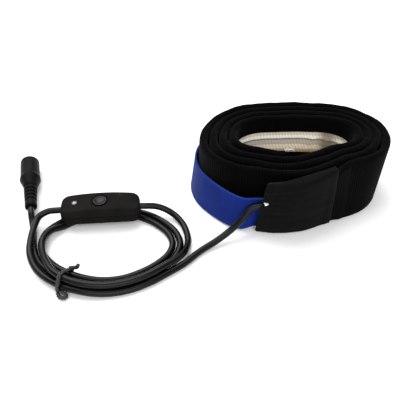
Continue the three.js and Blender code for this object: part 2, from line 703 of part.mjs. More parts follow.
const headStart = socketLength - socketHeadLength;
const bodyStart = reliefLength;
const mouthChamfer = 0.5;
const reliefProfile = [];
const reliefPitch = (reliefLength - 4) / reliefGrooves;
for (let i = 0; i < reliefGrooves; i++) {
  const from = 3 + i * reliefPitch;
  const outer = THREE.MathUtils.lerp(reliefEnd, reliefDiameter, i / reliefGrooves) / 2;
  reliefProfile.push([outer, from], [outer, from + reliefPitch * 0.55],
    [outer - grooveDepth, from + reliefPitch * 0.6], [outer - grooveDepth, from + reliefPitch * 0.95]);
}
const cableBore = leadDiameter / 2 + clearance;
const cableDepth = leadEntry + clearance;
const insertBase = socketLength - insertLength - clearance;
const mouldProfile = corners([
  [cableBore, 0], [reliefEnd / 2 - 0.4, 0], [reliefEnd / 2, 0.6],
  ...reliefProfile,
  [reliefDiameter / 2, bodyStart], [socketBulge / 2 - 0.35, bodyStart + 5.6],
  [socketBulge / 2, bodyStart + 6.6], [socketBulge / 2, headStart - 1.2], [socketHead / 2, headStart],
  [socketHead / 2, socketLength - mouthChamfer], [socketHead / 2 - mouthChamfer, socketLength],
  [socketBore / 2, socketLength], [socketBore / 2, insertBase], [0.6, insertBase],
  [0.6, cableDepth], [cableBore, cableDepth],
]);
const turned = (profile, sides = 20) =>
  new THREE.LatheGeometry([...profile, profile[0]], sides).rotateX(Math.PI / 2);
add('socket_overmould', turned(mouldProfile), blackPlastic, socket);

const insertOuter = socketBore / 2 - clearance;
const plugFloor = socketLength - plugDepth;
const pinSeat = pinDiameter / 2 + clearance;
add('socket_insert', turned(corners([
  [pinSeat, insertBase + clearance], [insertOuter, insertBase + clearance],
  [insertOuter, socketLength - clearance], [plugBore / 2, socketLength - clearance],
  [plugBore / 2, plugFloor], [pinSeat, plugFloor],
])), blackPlastic, socket);
const pinEnd = socketLength - 1.2;
add('socket_centre_pin', new THREE.LatheGeometry(corners([
  [0, insertBase - 2.4], [0.3, insertBase - 2.4], [0.3, insertBase + clearance],
  [pinDiameter / 2, insertBase + clearance],
  [pinDiameter / 2, pinEnd - 0.7], [pinDiameter / 4, pinEnd], [0, pinEnd],
]), 14).rotateX(Math.PI / 2), steel, socket);

export default part;
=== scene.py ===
import math

import bmesh
import bpy
import numpy as np
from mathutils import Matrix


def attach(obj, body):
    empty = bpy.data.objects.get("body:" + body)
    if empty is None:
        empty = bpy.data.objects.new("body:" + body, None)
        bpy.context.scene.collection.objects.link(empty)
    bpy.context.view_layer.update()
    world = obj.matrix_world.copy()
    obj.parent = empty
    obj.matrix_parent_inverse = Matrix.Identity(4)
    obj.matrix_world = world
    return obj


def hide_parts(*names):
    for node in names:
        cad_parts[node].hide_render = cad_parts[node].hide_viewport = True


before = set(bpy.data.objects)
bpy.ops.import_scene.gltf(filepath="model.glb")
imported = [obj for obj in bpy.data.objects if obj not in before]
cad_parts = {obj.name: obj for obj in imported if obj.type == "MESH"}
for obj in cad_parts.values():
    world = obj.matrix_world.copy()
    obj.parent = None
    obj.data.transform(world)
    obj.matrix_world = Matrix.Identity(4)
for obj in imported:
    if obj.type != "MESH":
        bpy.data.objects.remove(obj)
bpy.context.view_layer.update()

# Camera
# The strip stands on a table and is seen from the front and above, at arm's length.

camera_lens = bpy.data.cameras.new("camera")
camera_lens.sensor_width = 36
camera_lens.lens = 44.1
camera = bpy.data.objects.new("camera", camera_lens)
camera.location = (-0.0505, -0.2279, 0.1846)
camera.rotation_euler = (math.radians(49.5), 0, 0)
bpy.context.collection.objects.link(camera)
bpy.context.scene.camera = camera

# Lead from the strip to the switch
# Round two-core cable in a soft black jacket. It comes out of the mouth of the end pocket, drops to
# the table and joins the coil, and ends in the left end of the in-line switch.

LEAD_DIAMETER = 0.0035
LEAD_ON_TABLE = 0.00187
COIL_CENTRE = (-0.0981, -0.0492)
COIL_HALF_LENGTH = 0.0335
COIL_HALF_WIDTH = 0.025
COIL_STATIONS = 20
TIE_STATION = 1.55
TIE_LIFT = 0.0018


def ramp(x, start, end):
    """0 before start, 1 after end, and 3t^2 - 2t^3 between them."""
    t = np.clip((x - start) / (end - start), 0, 1)
    return t * t * (3 - 2 * t)


def unit(vectors):
    """Each vector divided by its length."""
    return vectors / np.linalg.norm(vectors, axis=-1, keepdims=True)


def coil_point(station, outwards, height=LEAD_ON_TABLE):
    """A place in the coil: a point of an ellipse, moved out along its normal, and raised at the tie."""
    angle = -math.pi / 2 - 2 * math.pi * station / COIL_STATIONS
    across, along = math.cos(angle), math.sin(angle)
    outward = unit(np.array([across / COIL_HALF_LENGTH, along / COIL_HALF_WIDTH]))
    lift = TIE_LIFT * (1 - ramp(abs(station % COIL_STATIONS - TIE_STATION), 0.6, 2.2))
    return (COIL_CENTRE[0] + COIL_HALF_LENGTH * across + outward[0] * outwards,
            COIL_CENTRE[1] + COIL_HALF_WIDTH * along + outward[1] * outwards, height + lift)


def strand(first, lanes):
    """One stretch of the coil: for each station its distance outwards, or that and its height."""
    return [coil_point(first + i, *np.atleast_1d(lane)) for i, lane in enumerate(lanes)]


def end_slopes(p0, p1, p2, p3):
    """Slopes at p1 and p2 of the centripetal Catmull-Rom span between them: each weighs the
    neighbouring points by the square root of their distances."""
    g0, g1, g2 = (np.sqrt(np.linalg.norm(b - a, axis=-1, keepdims=True))
                  for a, b in ((p0, p1), (p1, p2), (p2, p3)))
    return (g1 * ((p1 - p0) / g0 - (p2 - p0) / (g0 + g1) + (p2 - p1) / g1),
            g1 * ((p2 - p1) / g1 - (p3 - p1) / (g1 + g2) + (p3 - p2) / g2))


def cubic(w, p1, p2, leave, arrive):
    """The cubic from p1 to p2 that leaves and arrives with these slopes, at w from 0 to 1."""
    return ((2 * w**3 - 3 * w**2 + 1) * p1 + (w**3 - 2 * w**2 + w) * leave
            + (3 * w**2 - 2 * w**3) * p2 + (w**3 - w**2) * arrive)


def smooth_route(points, per_span=10):
    """A curve through the points: one cubic for each span, the ends carried on straight."""
    p = np.asarray(points, float)
    p = np.vstack([2 * p[0] - p[1], p, 2 * p[-1] - p[-2]])
    spans = (p[1:-2], p[2:-1], *end_slopes(p[:-3], p[1:-2], p[2:-1], p[3:]))
    w = np.linspace(0, 1, per_span, endpoint=False)[None, :, None]
    return np.vstack([cubic(w, *(part[:, None] for part in spans)).reshape(-1, 3), p[-2:-1]])


def tube_grid(path, radius, sides, reference=(0, 0, 1)):
    """A round tube: at each point of the path, a circle across its direction, level with reference."""
    path = np.asarray(path, float)
    forward = unit(np.gradient(path, axis=0))
    side = unit(np.cross(forward, reference))
    lift = np.cross(side, forward)
    angle = np.linspace(0, 2 * math.pi, sides, endpoint=False)[None, :, None]
    radius = np.broadcast_to(radius, len(path))[:, None, None]
    return path[:, None] + radius * (np.cos(angle) * side[:, None] + np.sin(angle) * lift[:, None])


def surface(name, grid, material, around=True, along=False, shut=True):
    """A piece through a grid of points. Each point is joined to the next in its row and in its column;
    around joins the last column to the first, along the last row to the first, and shut closes both
    ends with a ribbon of faces. The UV map holds the lengths along and across, in metres."""
    grid = np.asarray(grid, float)
    rows, columns = grid.shape[:2]
    wrap_rows = np.vstack([grid, grid[:1]]) if along else grid
    wrap_columns = np.concatenate([grid, grid[:, :1]], axis=1) if around else grid
    u = np.append(0, np.linalg.norm(np.diff(wrap_rows, axis=0), axis=2).mean(axis=1)).cumsum()
    v = np.append(0, np.linalg.norm(np.diff(wrap_columns, axis=1), axis=2).mean(axis=0)).cumsum()
    i, j = np.meshgrid(np.arange(len(u) - 1), np.arange(len(v) - 1), indexing="ij")
    i, j = i.ravel(), j.ravel()
    steps = [(0, 0), (0, 1), (1, 1), (1, 0)]
    faces = [np.stack([((i + a) % rows) * columns + (j + b) % columns for a, b in steps], axis=1)]
    corners = [np.stack([np.stack([u[i + a], v[j + b]], axis=1) for a, b in steps], axis=1)]
    if shut and around and not along:
        k = np.arange(columns // 2 - 1)
        for row in (0, rows - 1):
            ring = np.stack([k, k + 1, columns - 2 - k, columns - 1 - k], axis=1)
            faces.append(row * columns + ring)
            corners.append(np.stack([np.full(ring.shape, u[row]), v[ring]], axis=2))
    faces, corners = np.vstack(faces), np.vstack(corners)
    mesh = bpy.data.meshes.new(name)
    mesh.from_pydata(grid.reshape(-1, 3).tolist(), [], faces.tolist())
    mesh.uv_layers.new(name="lengths").uv.foreach_set("vector", corners.ravel())
    shell = bmesh.new()
    shell.from_mesh(mesh)
    bmesh.ops.remove_doubles(shell, verts=shell.verts, dist=2e-6)
    if around or along:
        bmesh.ops.recalc_face_normals(shell, faces=shell.faces)
    shell.to_mesh(mesh)
    shell.free()
    mesh.materials.append(material)
    mesh.polygons.foreach_set("use_smooth", [True] * len(mesh.polygons))
    piece = bpy.data.objects.new(name, mesh)
    bpy.context.collection.objects.link(piece)
    return piece


def add(tree, kind, inputs=None, **settings):
    """A shader node with its settings, its inputs set to values or linked to sockets."""
    made = tree.nodes.new("ShaderNode" + kind)
    for key, value in settings.items():
        setattr(made, key, value)
    for key, value in (inputs or {}).items():
        if isinstance(value, bpy.types.NodeSocket):
            tree.links.new(value, made.inputs[key])
        else:
            made.inputs[key].default_value = value
    return made


def sum_of(tree, operation, *values):
    return add(tree, "Math", dict(enumerate(values)), operation=operation).outputs[0]


def effect(name, inputs, outputs):
    """An empty shader node group: its tree, the node that gives its inputs and the one that takes its
    outputs."""
    tree = bpy.data.node_groups.new(name, "ShaderNodeTree")
    for title, kind in inputs.items():
        tree.interface.new_socket(title, in_out="INPUT", socket_type="NodeSocket" + kind)
    for title in outputs:
        tree.interface.new_socket(title, in_out="OUTPUT", socket_type="NodeSocketFloat")
    return tree, tree.nodes.new("NodeGroupInput"), tree.nodes.new("NodeGroupOutput")


def use(tree, group, inputs):
    return add(tree, "Group", inputs, node_tree=group)


def finish(name, **constants):
    """A material with its Principled shader's plain values set on its own sockets."""
    material = bpy.data.materials.new(name)
    material.use_nodes = True
    shader = material.node_tree.nodes["Principled BSDF"]
    for key, value in constants.items():
        shader.inputs[key.replace("_", " ").title().replace("Ior", "IOR")].default_value = value
    return material, material.node_tree, shader


def colour_between(tree, mask, low, high):
    return add(tree, "Mix", {"Factor": mask, 6: (*low, 1), 7: (*high, 1)}, data_type="RGBA").outputs[2]


def bumped(tree, shader, height, strength, distance):
    bump = add(tree, "Bump", {"Strength": strength, "Distance": distance, "Height": height})
    tree.links.new(bump.outputs[0], shader.inputs["Normal"])


# Fine grain with broad, faint patches, as on rubber and on moulded plastic
grain, given, made = effect("Moulded grain", {"Vector": "Vector", "Grain": "Float", "Patches": "Float"},
                            ["Height", "Patches"])
fine = add(grain, "TexNoise", {"Vector": given.outputs["Vector"], "Scale": given.outputs["Grain"],
                               "Detail": 3.0, "Roughness": 0.6})
broad = add(grain, "TexNoise", {"Vector": given.outputs["Vector"], "Scale": given.outputs["Patches"],
                                "Detail": 2.0})
patches = add(grain, "MapRange", {"Value": broad.outputs[0], "From Min": 0.35, "From Max": 0.65})
grain.links.new(fine.outputs[0], made.inputs["Height"])
grain.links.new(patches.outputs[0], made.inputs["Patches"])


def plain_finish(name, low, high, roughness, metallic=0.0, grain_size=2500.0, patch=200.0, depth=0.00005,
                 gloss=0.4, relief=0.3, worn=0.0, **constants):
    """A material of one colour that varies a little in patches, with a fine grain. Worn is how far the
    roughness goes up and down with the patches."""
    material, tree, shader = finish(name, roughness=roughness, metallic=metallic,
                                    specular_ior_level=gloss, **constants)
    places = add(tree, "TexCoord")
    marks = use(tree, grain, {"Vector": places.outputs["Object"], "Grain": grain_size, "Patches": patch})
    tree.links.new(colour_between(tree, marks.outputs["Patches"], low, high), shader.inputs["Base Color"])
    if worn:
        rubbed = add(tree, "MapRange", {"Value": marks.outputs["Patches"], "To Min": roughness - worn,
                                        "To Max": roughness + worn})
        tree.links.new(rubbed.outputs[0], shader.inputs["Roughness"])
    if relief:
        bumped(tree, shader, marks.outputs["Height"], relief, depth)
    return material


jacket = plain_finish("cable_jacket", (0.0012, 0.0011, 0.0010), (0.0034, 0.0032, 0.0028), 0.30,
                      grain_size=1400.0, patch=55.0, depth=0.00008, gloss=0.17, relief=0.25, worn=0.06)

route_to_switch = [
    (-0.006097, -0.038257, 0.018), (-0.012398, -0.038536, 0.018), (-0.019231, -0.038033, 0.018),
    (-0.0236, -0.0383, 0.0172), (-0.0284, -0.0412, 0.0124), (-0.0352, -0.0442, 0.0062),
    (-0.0426, -0.0486, 0.0030), (-0.0503, -0.0541, LEAD_ON_TABLE), (-0.0581, -0.0625, LEAD_ON_TABLE),
    *strand(17, [0.0069, 0.0066, 0.0073, 0.0078, 0.0078, 0.0071, (0.0067, 0.0029),
                 (0.0061, 0.0050), (0.0060, 0.0056), (0.0088, 0.0059)]),
    (-0.1368, -0.0334, 0.0070), (-0.1323, -0.0309, 0.0083), (-0.1275, -0.0303, 0.0085),
    (-0.1217, -0.0298, 0.0085),
]


def cable(name, route):
    """The cable's jacket along its route, its kinks eased by a running mean over neighbouring points."""
    path = smooth_route(route, 8)
    eased_path = path.copy()
    eased_path[2:-2] = (path[:-4] + 2 * path[1:-3] + 3 * path[2:-2] + 2 * path[3:-1] + path[4:]) / 9
    piece = surface(name, tube_grid(eased_path, LEAD_DIAMETER / 2, 20), jacket)
    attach(piece, "strip_and_lead")
    return piece, eased_path


lead_to_switch, path_to_switch = cable("cable_to_switch", route_to_switch)
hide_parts("lead_strip_to_switch")

# Lead from the switch to the socket
# The same cable, from the right end of the switch two and a half times round the coil, twice under
# the switch, and up into the rear of the power socket.

LANE = 0.004
SOCKET_REAR = np.array([-0.1437, -0.0251, 0.0059])
SOCKET_AXIS = np.array([-0.0118, 0.0425, 0]) / math.hypot(0.0118, 0.0425)
inner_lanes = [-0.0010, -0.0001, -0.0005, -0.0013, -0.0013, -0.0006, 0, 0, -0.0006, -0.0010,
               -0.0002, 0.0014]
route_to_socket = [
    (-0.0869, -0.0270, 0.0085), (-0.0805, -0.0265, 0.0084), (-0.0733, -0.0254, 0.0068),
    (-0.0659, -0.0274, 0.0040), (-0.0603, -0.0334, 0.0024), (-0.0575, -0.0410, 0.0020),
    *strand(15, [(0.0079, 0.0023), (0.0069, 0.0045), (0.0046, 0.0054), (0.0046, 0.0054),
                 (0.0053, 0.0054), (0.0059, 0.0053), (0.0059, 0.0053), (0.0044, 0.0056),
                 (0.0013, 0.0057), (0, 0.0056), (-0.0002, 0.0056), (-0.0008, 0.0044)]),
    *strand(27, [-0.0019] * 7), *strand(34, inner_lanes),
    *strand(46, [0.0024] + [0.0020] * 7), *strand(54, [out + LANE for out in inner_lanes]),
    (-0.1394, -0.0398, LEAD_ON_TABLE), (-0.1412, -0.0339, 0.0033), (-0.1425, -0.0294, 0.0057),
    tuple(SOCKET_REAR), tuple(SOCKET_REAR + 0.012 * SOCKET_AXIS),
]
lead_to_socket, path_to_socket = cable("cable_to_socket", route_to_socket)
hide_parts("lead_switch_to_socket")

# Twist tie
# Two plastic-covered wires twisted together and bent round the strands at the front of the coil. The
# long end curls up in front of the coil, and a short one stands on its inside.

TIE_WIRE, TIE_TWIST_LENGTH, TIE_STUB_RADIUS = 0.0011, 0.0042, 0.00095
TIE_SPREAD, TIE_PRESSED = 0.00052, 0.00022
tie_matt = plain_finish("tie_plastic", (0.010, 0.010, 0.010), (0.020, 0.019, 0.018), 0.5,
                        grain_size=2600.0, patch=300.0, depth=0.0001, gloss=0.5)

tie_from = np.array(coil_point(TIE_STATION, 0, 0)) * (1, 1, 0)
tie_out = np.array(coil_point(TIE_STATION, 1, 0)) - np.array(coil_point(TIE_STATION, 0, 0))
tie_along = np.cross(tie_out, (0, 0, 1))


def in_tie(across, up, along):
    """A point near the tie: across the strands, up from the table and along them."""
    return (tie_from + np.multiply.outer(across, tie_out) + np.multiply.outer(up, (0, 0, 1))
            + np.multiply.outer(along, tie_along))


def belt(centres, radius, steps=12):
    """The outline at one distance outside a convex set of centres: an arc round each of them."""
    centres = np.asarray(centres)
    back, ahead = centres - np.roll(centres, 1, 0), np.roll(centres, -1, 0) - centres
    start = np.arctan2(back[:, 1], back[:, 0]) - math.pi / 2
    turn = (np.arctan2(ahead[:, 1], ahead[:, 0]) - math.pi / 2 - start) % (2 * math.pi)
    angle = start[:, None] + turn[:, None] * np.linspace(0, 1, steps)
    arcs = centres[:, None] + radius * np.stack([np.cos(angle), np.sin(angle)], axis=2)
    return arcs.reshape(-1, 2)


def run_along(points):
    """The length to each point from the first, along straight lines."""
    return np.append(0, np.linalg.norm(np.diff(points, axis=0), axis=1).cumsum())


def even_steps(points, count, endpoint):
    """Even steps round the closed outline through the points: the length to each, and its place."""
    points = np.vstack([points, points[:1]])
    length = run_along(points)
    steps = np.linspace(0, length[-1], count, endpoint=endpoint)
    return steps, np.stack([np.interp(steps, length, column) for column in points.T], axis=1)


tie_centres = [(-0.00035, 0.00367), (0.00735, 0.00367), (0.0051, 0.0072)]
steps, loop = even_steps(belt(tie_centres, LEAD_DIAMETER / 2 + 0.0009), 150, True)
inward = unit(np.array([0.0035, 0.005]) - loop)
tie_wires = []
for side in (0, 1):
    twist = 2 * math.pi * (steps / TIE_TWIST_LENGTH) + math.pi * side
    rolled = loop + inward * (TIE_PRESSED * np.sin(twist))[:, None]
    path = in_tie(rolled[:, 0], rolled[:, 1], TIE_SPREAD * np.cos(twist))
    tie_wires.append(surface(f"tie_wire_{side}", tube_grid(path, TIE_WIRE / 2, 10, tie_along), tie_matt))
tail_path = smooth_route([(0.0098, 0.0024, 0.0002), (0.0110, 0.0015, -0.0006), (0.0120, 0.0013, -0.0022),
                          (0.0118, 0.0014, -0.0042), (0.0106, 0.0015, -0.0050),
                          (0.0098, 0.0022, -0.0040), (0.0102, 0.0032, -0.0022)], 16)
for side in (0, 1):
    twist = 2 * math.pi * 4.2 * np.linspace(0, 1, len(tail_path)) + math.pi * side
    path = in_tie(tail_path[:, 0] + 0.0005 * np.cos(twist), tail_path[:, 1] + 0.0004 * np.sin(twist),
                  tail_path[:, 2] + 0.0003 * np.sin(twist))
    tie_wires.append(surface(f"tie_tail_{side}", tube_grid(path, TIE_WIRE / 2, 10), tie_matt))
stub = smooth_route([(-0.0018, 0.0064, 0.0004), (-0.0024, 0.0068, -0.0018), (-0.0026, 0.0076, -0.0036),
                     (-0.0032, 0.0090, -0.0042)], 10)
tie_wires.append(surface("tie_stub", tube_grid(in_tie(*stub.T), TIE_STUB_RADIUS, 10), tie_matt))
for piece in tie_wires:
    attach(piece, "strip_and_lead")
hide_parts("twist_tie")

# In-line switch, shells
# Two matt black mouldings with rounded corners, the upper one arched along its length. They meet in
# a fine groove, and two screws hold them together from below.

SWITCH_PLACE = np.array([-0.1043, -0.0284, 0.0041])
SWITCH_TURN = math.radians(4.7)
SWITCH_LENGTH, SWITCH_WIDTH, SWITCH_CORNER = 0.0425, 0.0154, 0.0046
SWITCH_END_HEIGHT, SWITCH_HEIGHT, SWITCH_SPLIT = 0.0080, 0.0098, 0.0045
RECESS_RADIUS, RECESS_DEPTH = 0.0049, 0.0006
BUTTON_RADIUS = 0.0036

arch_rise = SWITCH_HEIGHT - SWITCH_END_HEIGHT
arch_radius = (SWITCH_LENGTH**2 / 4 + arch_rise**2) / (2 * arch_rise)


def arch(x):
    """Height of the arched top: a circle's arc over the length of the switch."""
    return SWITCH_HEIGHT - arch_radius + np.sqrt(arch_radius**2 - x**2)


def in_switch(points):
    """From the switch's own frame to the table's: a turn about the upright and a shift."""
    turn = np.array([[math.cos(SWITCH_TURN), math.sin(SWITCH_TURN), 0],
                     [-math.sin(SWITCH_TURN), math.cos(SWITCH_TURN), 0], [0, 0, 1]])
    return np.asarray(points) @ turn + SWITCH_PLACE


def outline(inset, corner=SWITCH_CORNER, count=128):
    """The switch seen from above, drawn in by inset: a rounded rectangle, walked in even steps."""
    half = np.array([SWITCH_LENGTH, SWITCH_WIDTH]) / 2 - inset
    radius = max(corner - inset, 0.0008)
    arc = np.linspace(0, math.pi / 2, 14)
    quarter = np.stack([np.cos(arc), np.sin(arc)], axis=1) * radius
    points = []
    for k, (sx, sy) in enumerate([(1, 1), (-1, 1), (-1, -1), (1, -1)]):
        c, s = math.cos(k * math.pi / 2), math.sin(k * math.pi / 2)
        points.append(quarter @ np.array([[c, s], [-s, c]]) + (half - radius) * (sx, sy))
    return even_steps(np.vstack(points), count, False)[1]


def shell_rings(levels, top):
    """Rings of the switch's outline: each level is an inset, a height, and how far that height follows
    the arch; top gives the arch's height over each place."""
    rings = []
    for inset, height, follow in levels:
        ring = outline(inset)
        z = height + follow * (top(ring[:, 0]) - SWITCH_HEIGHT)
        rings.append(np.column_stack([ring, z]))
    return rings


switch_case = plain_finish("switch_moulding", (0.0064, 0.0061, 0.0056), (0.0098, 0.0093, 0.0084), 0.61,
                           grain_size=3800.0, patch=90.0, depth=0.00006, gloss=0.02, relief=0.35,
                           worn=0.05)

fillet = 0.0013
bend = np.linspace(0, math.pi / 2, 7)
side_levels = [(0.0014, SWITCH_SPLIT + 0.00015, 0), (0.0002, SWITCH_SPLIT + 0.00015, 0),
               (0, SWITCH_SPLIT + 0.0004, 0), (0.0001, SWITCH_SPLIT + 0.0020, 0.3)]
side_levels += [(0.0002 + fillet * (1 - math.cos(a)), SWITCH_HEIGHT - fillet * (1 - math.sin(a)), 1)
                for a in bend]
rings = shell_rings(side_levels, arch)
rim = rings[-1]
angle = np.arctan2(rim[:, 1] * SWITCH_LENGTH / SWITCH_WIDTH, rim[:, 0])
for share in np.linspace(0, 1, 10)[1:]:
    circle = np.column_stack([np.cos(angle), np.sin(angle)]) * (RECESS_RADIUS + 0.0002)
    flat = rim[:, :2] * (1 - share) + circle * share
    rings.append(np.column_stack([flat, arch(flat[:, 0])]))
for radius, drop in [(RECESS_RADIUS, 0.00005), (RECESS_RADIUS - 0.00012, 0.0002),
                     (RECESS_RADIUS - 0.00015, RECESS_DEPTH), (BUTTON_RADIUS + 0.0004, RECESS_DEPTH),
                     (BUTTON_RADIUS + 0.0003, RECESS_DEPTH + 0.0001),
                     (BUTTON_RADIUS + 0.0003, 0.0026)]:
    z = np.full(len(angle), SWITCH_HEIGHT - drop)
    rings.append(np.column_stack([np.cos(angle) * radius, np.sin(angle) * radius, z]))
upper_shell = surface("switch_top_moulding", in_switch(np.array(rings)), switch_case, shut=False)
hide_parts("switch_upper_shell")

foot = np.linspace(0, math.pi / 2, 5)
levels = [(0.0050, 0, 0)] + [(0.0007 * (1 - math.sin(a)), 0.0007 * (1 - math.cos(a)), 0) for a in foot]
levels += [(0, SWITCH_SPLIT - 0.0008, 0), (0.0001, SWITCH_SPLIT - 0.00055, 0),
           (0.0004, SWITCH_SPLIT - 0.0005, 0), (0.0004, SWITCH_SPLIT - 0.00015, 0),
           (0.0014, SWITCH_SPLIT - 0.00015, 0)]
rings = shell_rings(levels, arch)
middle = rings[0] * (0.5, 0.02, 1)
lower_shell = surface("switch_base_moulding", in_switch(np.array([middle] + rings)), switch_case,
                      shut=False)
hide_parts("switch_lower_shell")

# Push button
# A satin black cap with a dished top, in a round recess of the upper shell. It goes down 1.2 mm.


def turned(name, profile, material, axis_point, axis, sides=64, side=(1, 0, 0)):
    """A turned form: a profile of radius and height, carried round an axis."""
    profile = np.asarray(profile, float)
    axis = np.asarray(axis, float)
    first = unit(np.asarray(side, float) - np.dot(side, axis) * axis)
    second = np.cross(axis, first)
    angle = np.linspace(0, 2 * math.pi, sides, endpoint=False)[None, :, None]
    circle = np.cos(angle) * first + np.sin(angle) * second
    grid = profile[:, :1, None] * circle + profile[:, 1][:, None, None] * axis + np.asarray(axis_point)
    return surface(name, grid, material, shut=False)


def eased(corners, radius, steps=5):
    """A profile with its corners rounded: a quadratic curve from before each corner to after it."""
    p = np.asarray(corners, float)
    here = p[1:-1]
    back, ahead = p[:-2] - here, p[2:] - here
    back *= np.minimum(radius / np.linalg.norm(back, axis=1, keepdims=True), 0.45)
    ahead *= np.minimum(radius / np.linalg.norm(ahead, axis=1, keepdims=True), 0.45)
    t = np.linspace(0, 1, steps)[None, :, None]
    arc = here[:, None] + (1 - t)**2 * back[:, None] + t**2 * ahead[:, None]
    return np.vstack([p[:1], arc.reshape(-1, 2), p[-1:]])


button_black = plain_finish("button_plastic", (0.0020, 0.0020, 0.0020), (0.0045, 0.0045, 0.0045), 0.32,
                            grain_size=3000.0, patch=400.0, gloss=0.22, relief=0.0, worn=0.06)

dish = np.linspace(1, 0, 12)
cap_profile = np.vstack([
    eased([(0, 0.0071), (0.0045, 0.0071), (0.0045, 0.00785), (BUTTON_RADIUS, 0.00785),
           (BUTTON_RADIUS, 0.0099), (0.0030, 0.0099)], 0.0003),
    np.column_stack([0.0029 * dish, 0.0091 + 0.0007 * dish**2]),
])
button_cap = turned("button_cap", cap_profile, button_black, in_switch((0, 0, 0)), (0, 0, 1))
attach(button_cap, "button")
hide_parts("push_button")

# Indicator
# A milky 3 mm lens that stands half a millimetre out of the shell, in a thin rim.

LED_PLACE = (-0.0134, 0)
LED_RADIUS, LED_FOOT, LED_STANDS_OUT, LED_DOME = 0.0015, 0.0028, 0.0005, 0.0011
lens_milky = plain_finish("indicator_lens", (0.26, 0.26, 0.25), (0.46, 0.46, 0.45), 0.12,
                          grain_size=900.0, patch=500.0, gloss=0.5, relief=0.0, transmission_weight=0.25,
                          coat_weight=0.6, coat_roughness=0.05)
led_top = arch(LED_PLACE[0]) + LED_STANDS_OUT
dome = np.linspace(0, math.pi / 2, 9)
lens_profile = np.vstack([[(0, LED_FOOT), (LED_RADIUS, LED_FOOT)],
                          np.column_stack([LED_RADIUS * np.cos(dome),
                                           led_top - LED_DOME * (1 - np.sin(dome))])])
lens_profile[-1, 0] = 0
lens = turned("indicator_dome", lens_profile, lens_milky, in_switch((*LED_PLACE, 0)), (0, 0, 1), 40)
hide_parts("indicator_led")
ring = np.linspace(0, 2 * math.pi, 9)
rim_profile = np.column_stack([0.00172 + 0.00022 * np.cos(ring), 0.00012 * np.sin(ring)])
lens_rim = turned("indicator_rim", rim_profile, button_black, in_switch((*LED_PLACE, arch(LED_PLACE[0]))),
                  (0, 0, 1), 40)

switch_pieces = [upper_shell, lower_shell, lens, lens_rim]
for piece in switch_pieces:
    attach(piece, "strip_and_lead")

# Inside the switch
# A green board on two ribs, a latch under the button, a resistor beside the indicator's legs, and the
# two screws. They are closed in by the shells.


def dress(node, material):
    """Gives a CAD node that stays in view its material."""
    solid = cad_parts[node]
    solid.data.materials.clear()
    solid.data.materials.append(material)


dress("switch_board", plain_finish("board_lacquer", (0.02, 0.10, 0.04), (0.03, 0.14, 0.06), 0.4))
dress("led_resistor", plain_finish("resistor_lacquer", (0.42, 0.30, 0.15), (0.52, 0.38, 0.2), 0.35))
dark_plastic = plain_finish("latch_plastic", (0.010, 0.010, 0.010), (0.016, 0.016, 0.016), 0.45)
dress("latch_body", dark_plastic)
dress("latch_plunger", dark_plastic)
screw_zinc = plain_finish("screw_zinc", (0.50, 0.51, 0.53), (0.62, 0.62, 0.62), 0.32, 1.0)
dress("shell_screw_near", screw_zinc)
dress("shell_screw_far", screw_zinc)

# Power socket
# A soft black moulding over the cable's end: a ribbed strain relief that tapers to the cable, a
# shoulder, and a straight head with the socket's mouth. A plastic insert and a pin sit in the mouth.

HEAD_RADIUS, BULGE_RADIUS = 0.00555, 0.0059
SOCKET_LENGTH, RELIEF_LENGTH, RELIEF_PITCH, RELIEF_GROOVE = 0.043, 0.019, 0.003, 0.0009
mould_soft = plain_finish("socket_moulding", (0.0036, 0.0034, 0.0031), (0.0066, 0.0062, 0.0057), 0.46,
                          grain_size=3200.0, patch=120.0, gloss=0.04)
relief = []
for k in range(5):
    start = RELIEF_PITCH * (1 + k)
    outer = 0.0033 + 0.0001 * k
    relief += [(outer, start), (outer, start + 0.0016), (outer - RELIEF_GROOVE, start + 0.0018),
               (outer - RELIEF_GROOVE, start + 0.0028)]
mould_profile = eased([
    (0.0021, 0.0123), (0.0021, 0), (0.0029, 0), (0.0033, 0.0006), *relief,
    (0.0038, RELIEF_LENGTH), (0.0046, 0.0215), (BULGE_RADIUS - 0.0003, 0.0246), (BULGE_RADIUS, 0.0256),
    (BULGE_RADIUS, 0.0252), (BULGE_RADIUS - 0.0001, 0.0262), (HEAD_RADIUS + 0.0001, 0.0268),
    (HEAD_RADIUS, 0.0275), (HEAD_RADIUS, SOCKET_LENGTH - 0.0004), (HEAD_RADIUS - 0.0004, SOCKET_LENGTH),
    (0.0044, SOCKET_LENGTH), (0.0044, SOCKET_LENGTH - 0.0133), (0.0006, SOCKET_LENGTH - 0.0133),
    (0.0006, 0.0123), (0.0021, 0.0123),
], 0.00035)
moulding = turned("socket_moulding", mould_profile, mould_soft, SOCKET_REAR, SOCKET_AXIS, 64, (0, 0, 1))
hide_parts("socket_overmould")
insert_profile = eased([
    (0.00135, SOCKET_LENGTH - 0.013), (0.0041, SOCKET_LENGTH - 0.013), (0.0041, SOCKET_LENGTH - 0.0003),
    (0.0030, SOCKET_LENGTH - 0.0003), (0.0030, SOCKET_LENGTH - 0.010), (0.00135, SOCKET_LENGTH - 0.010),
    (0.00135, SOCKET_LENGTH - 0.013),
], 0.0002)
insert = turned("socket_lining", insert_profile, dark_plastic, SOCKET_REAR, SOCKET_AXIS, 48, (0, 0, 1))
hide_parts("socket_insert")
pin_bend = np.linspace(0, math.pi / 2, 6)
pin_profile = np.vstack([
    [(0, 0.0273), (0.0003, 0.0273), (0.0003, 0.0300), (0.00105, 0.0300)],
    np.column_stack([0.00045 + 0.0006 * np.cos(pin_bend), 0.0412 + 0.0006 * np.sin(pin_bend)]),
    [(0, 0.0418)],
])
pin_nickel = plain_finish("pin_nickel", (0.62, 0.60, 0.56), (0.72, 0.71, 0.68), 0.22, 1.0)
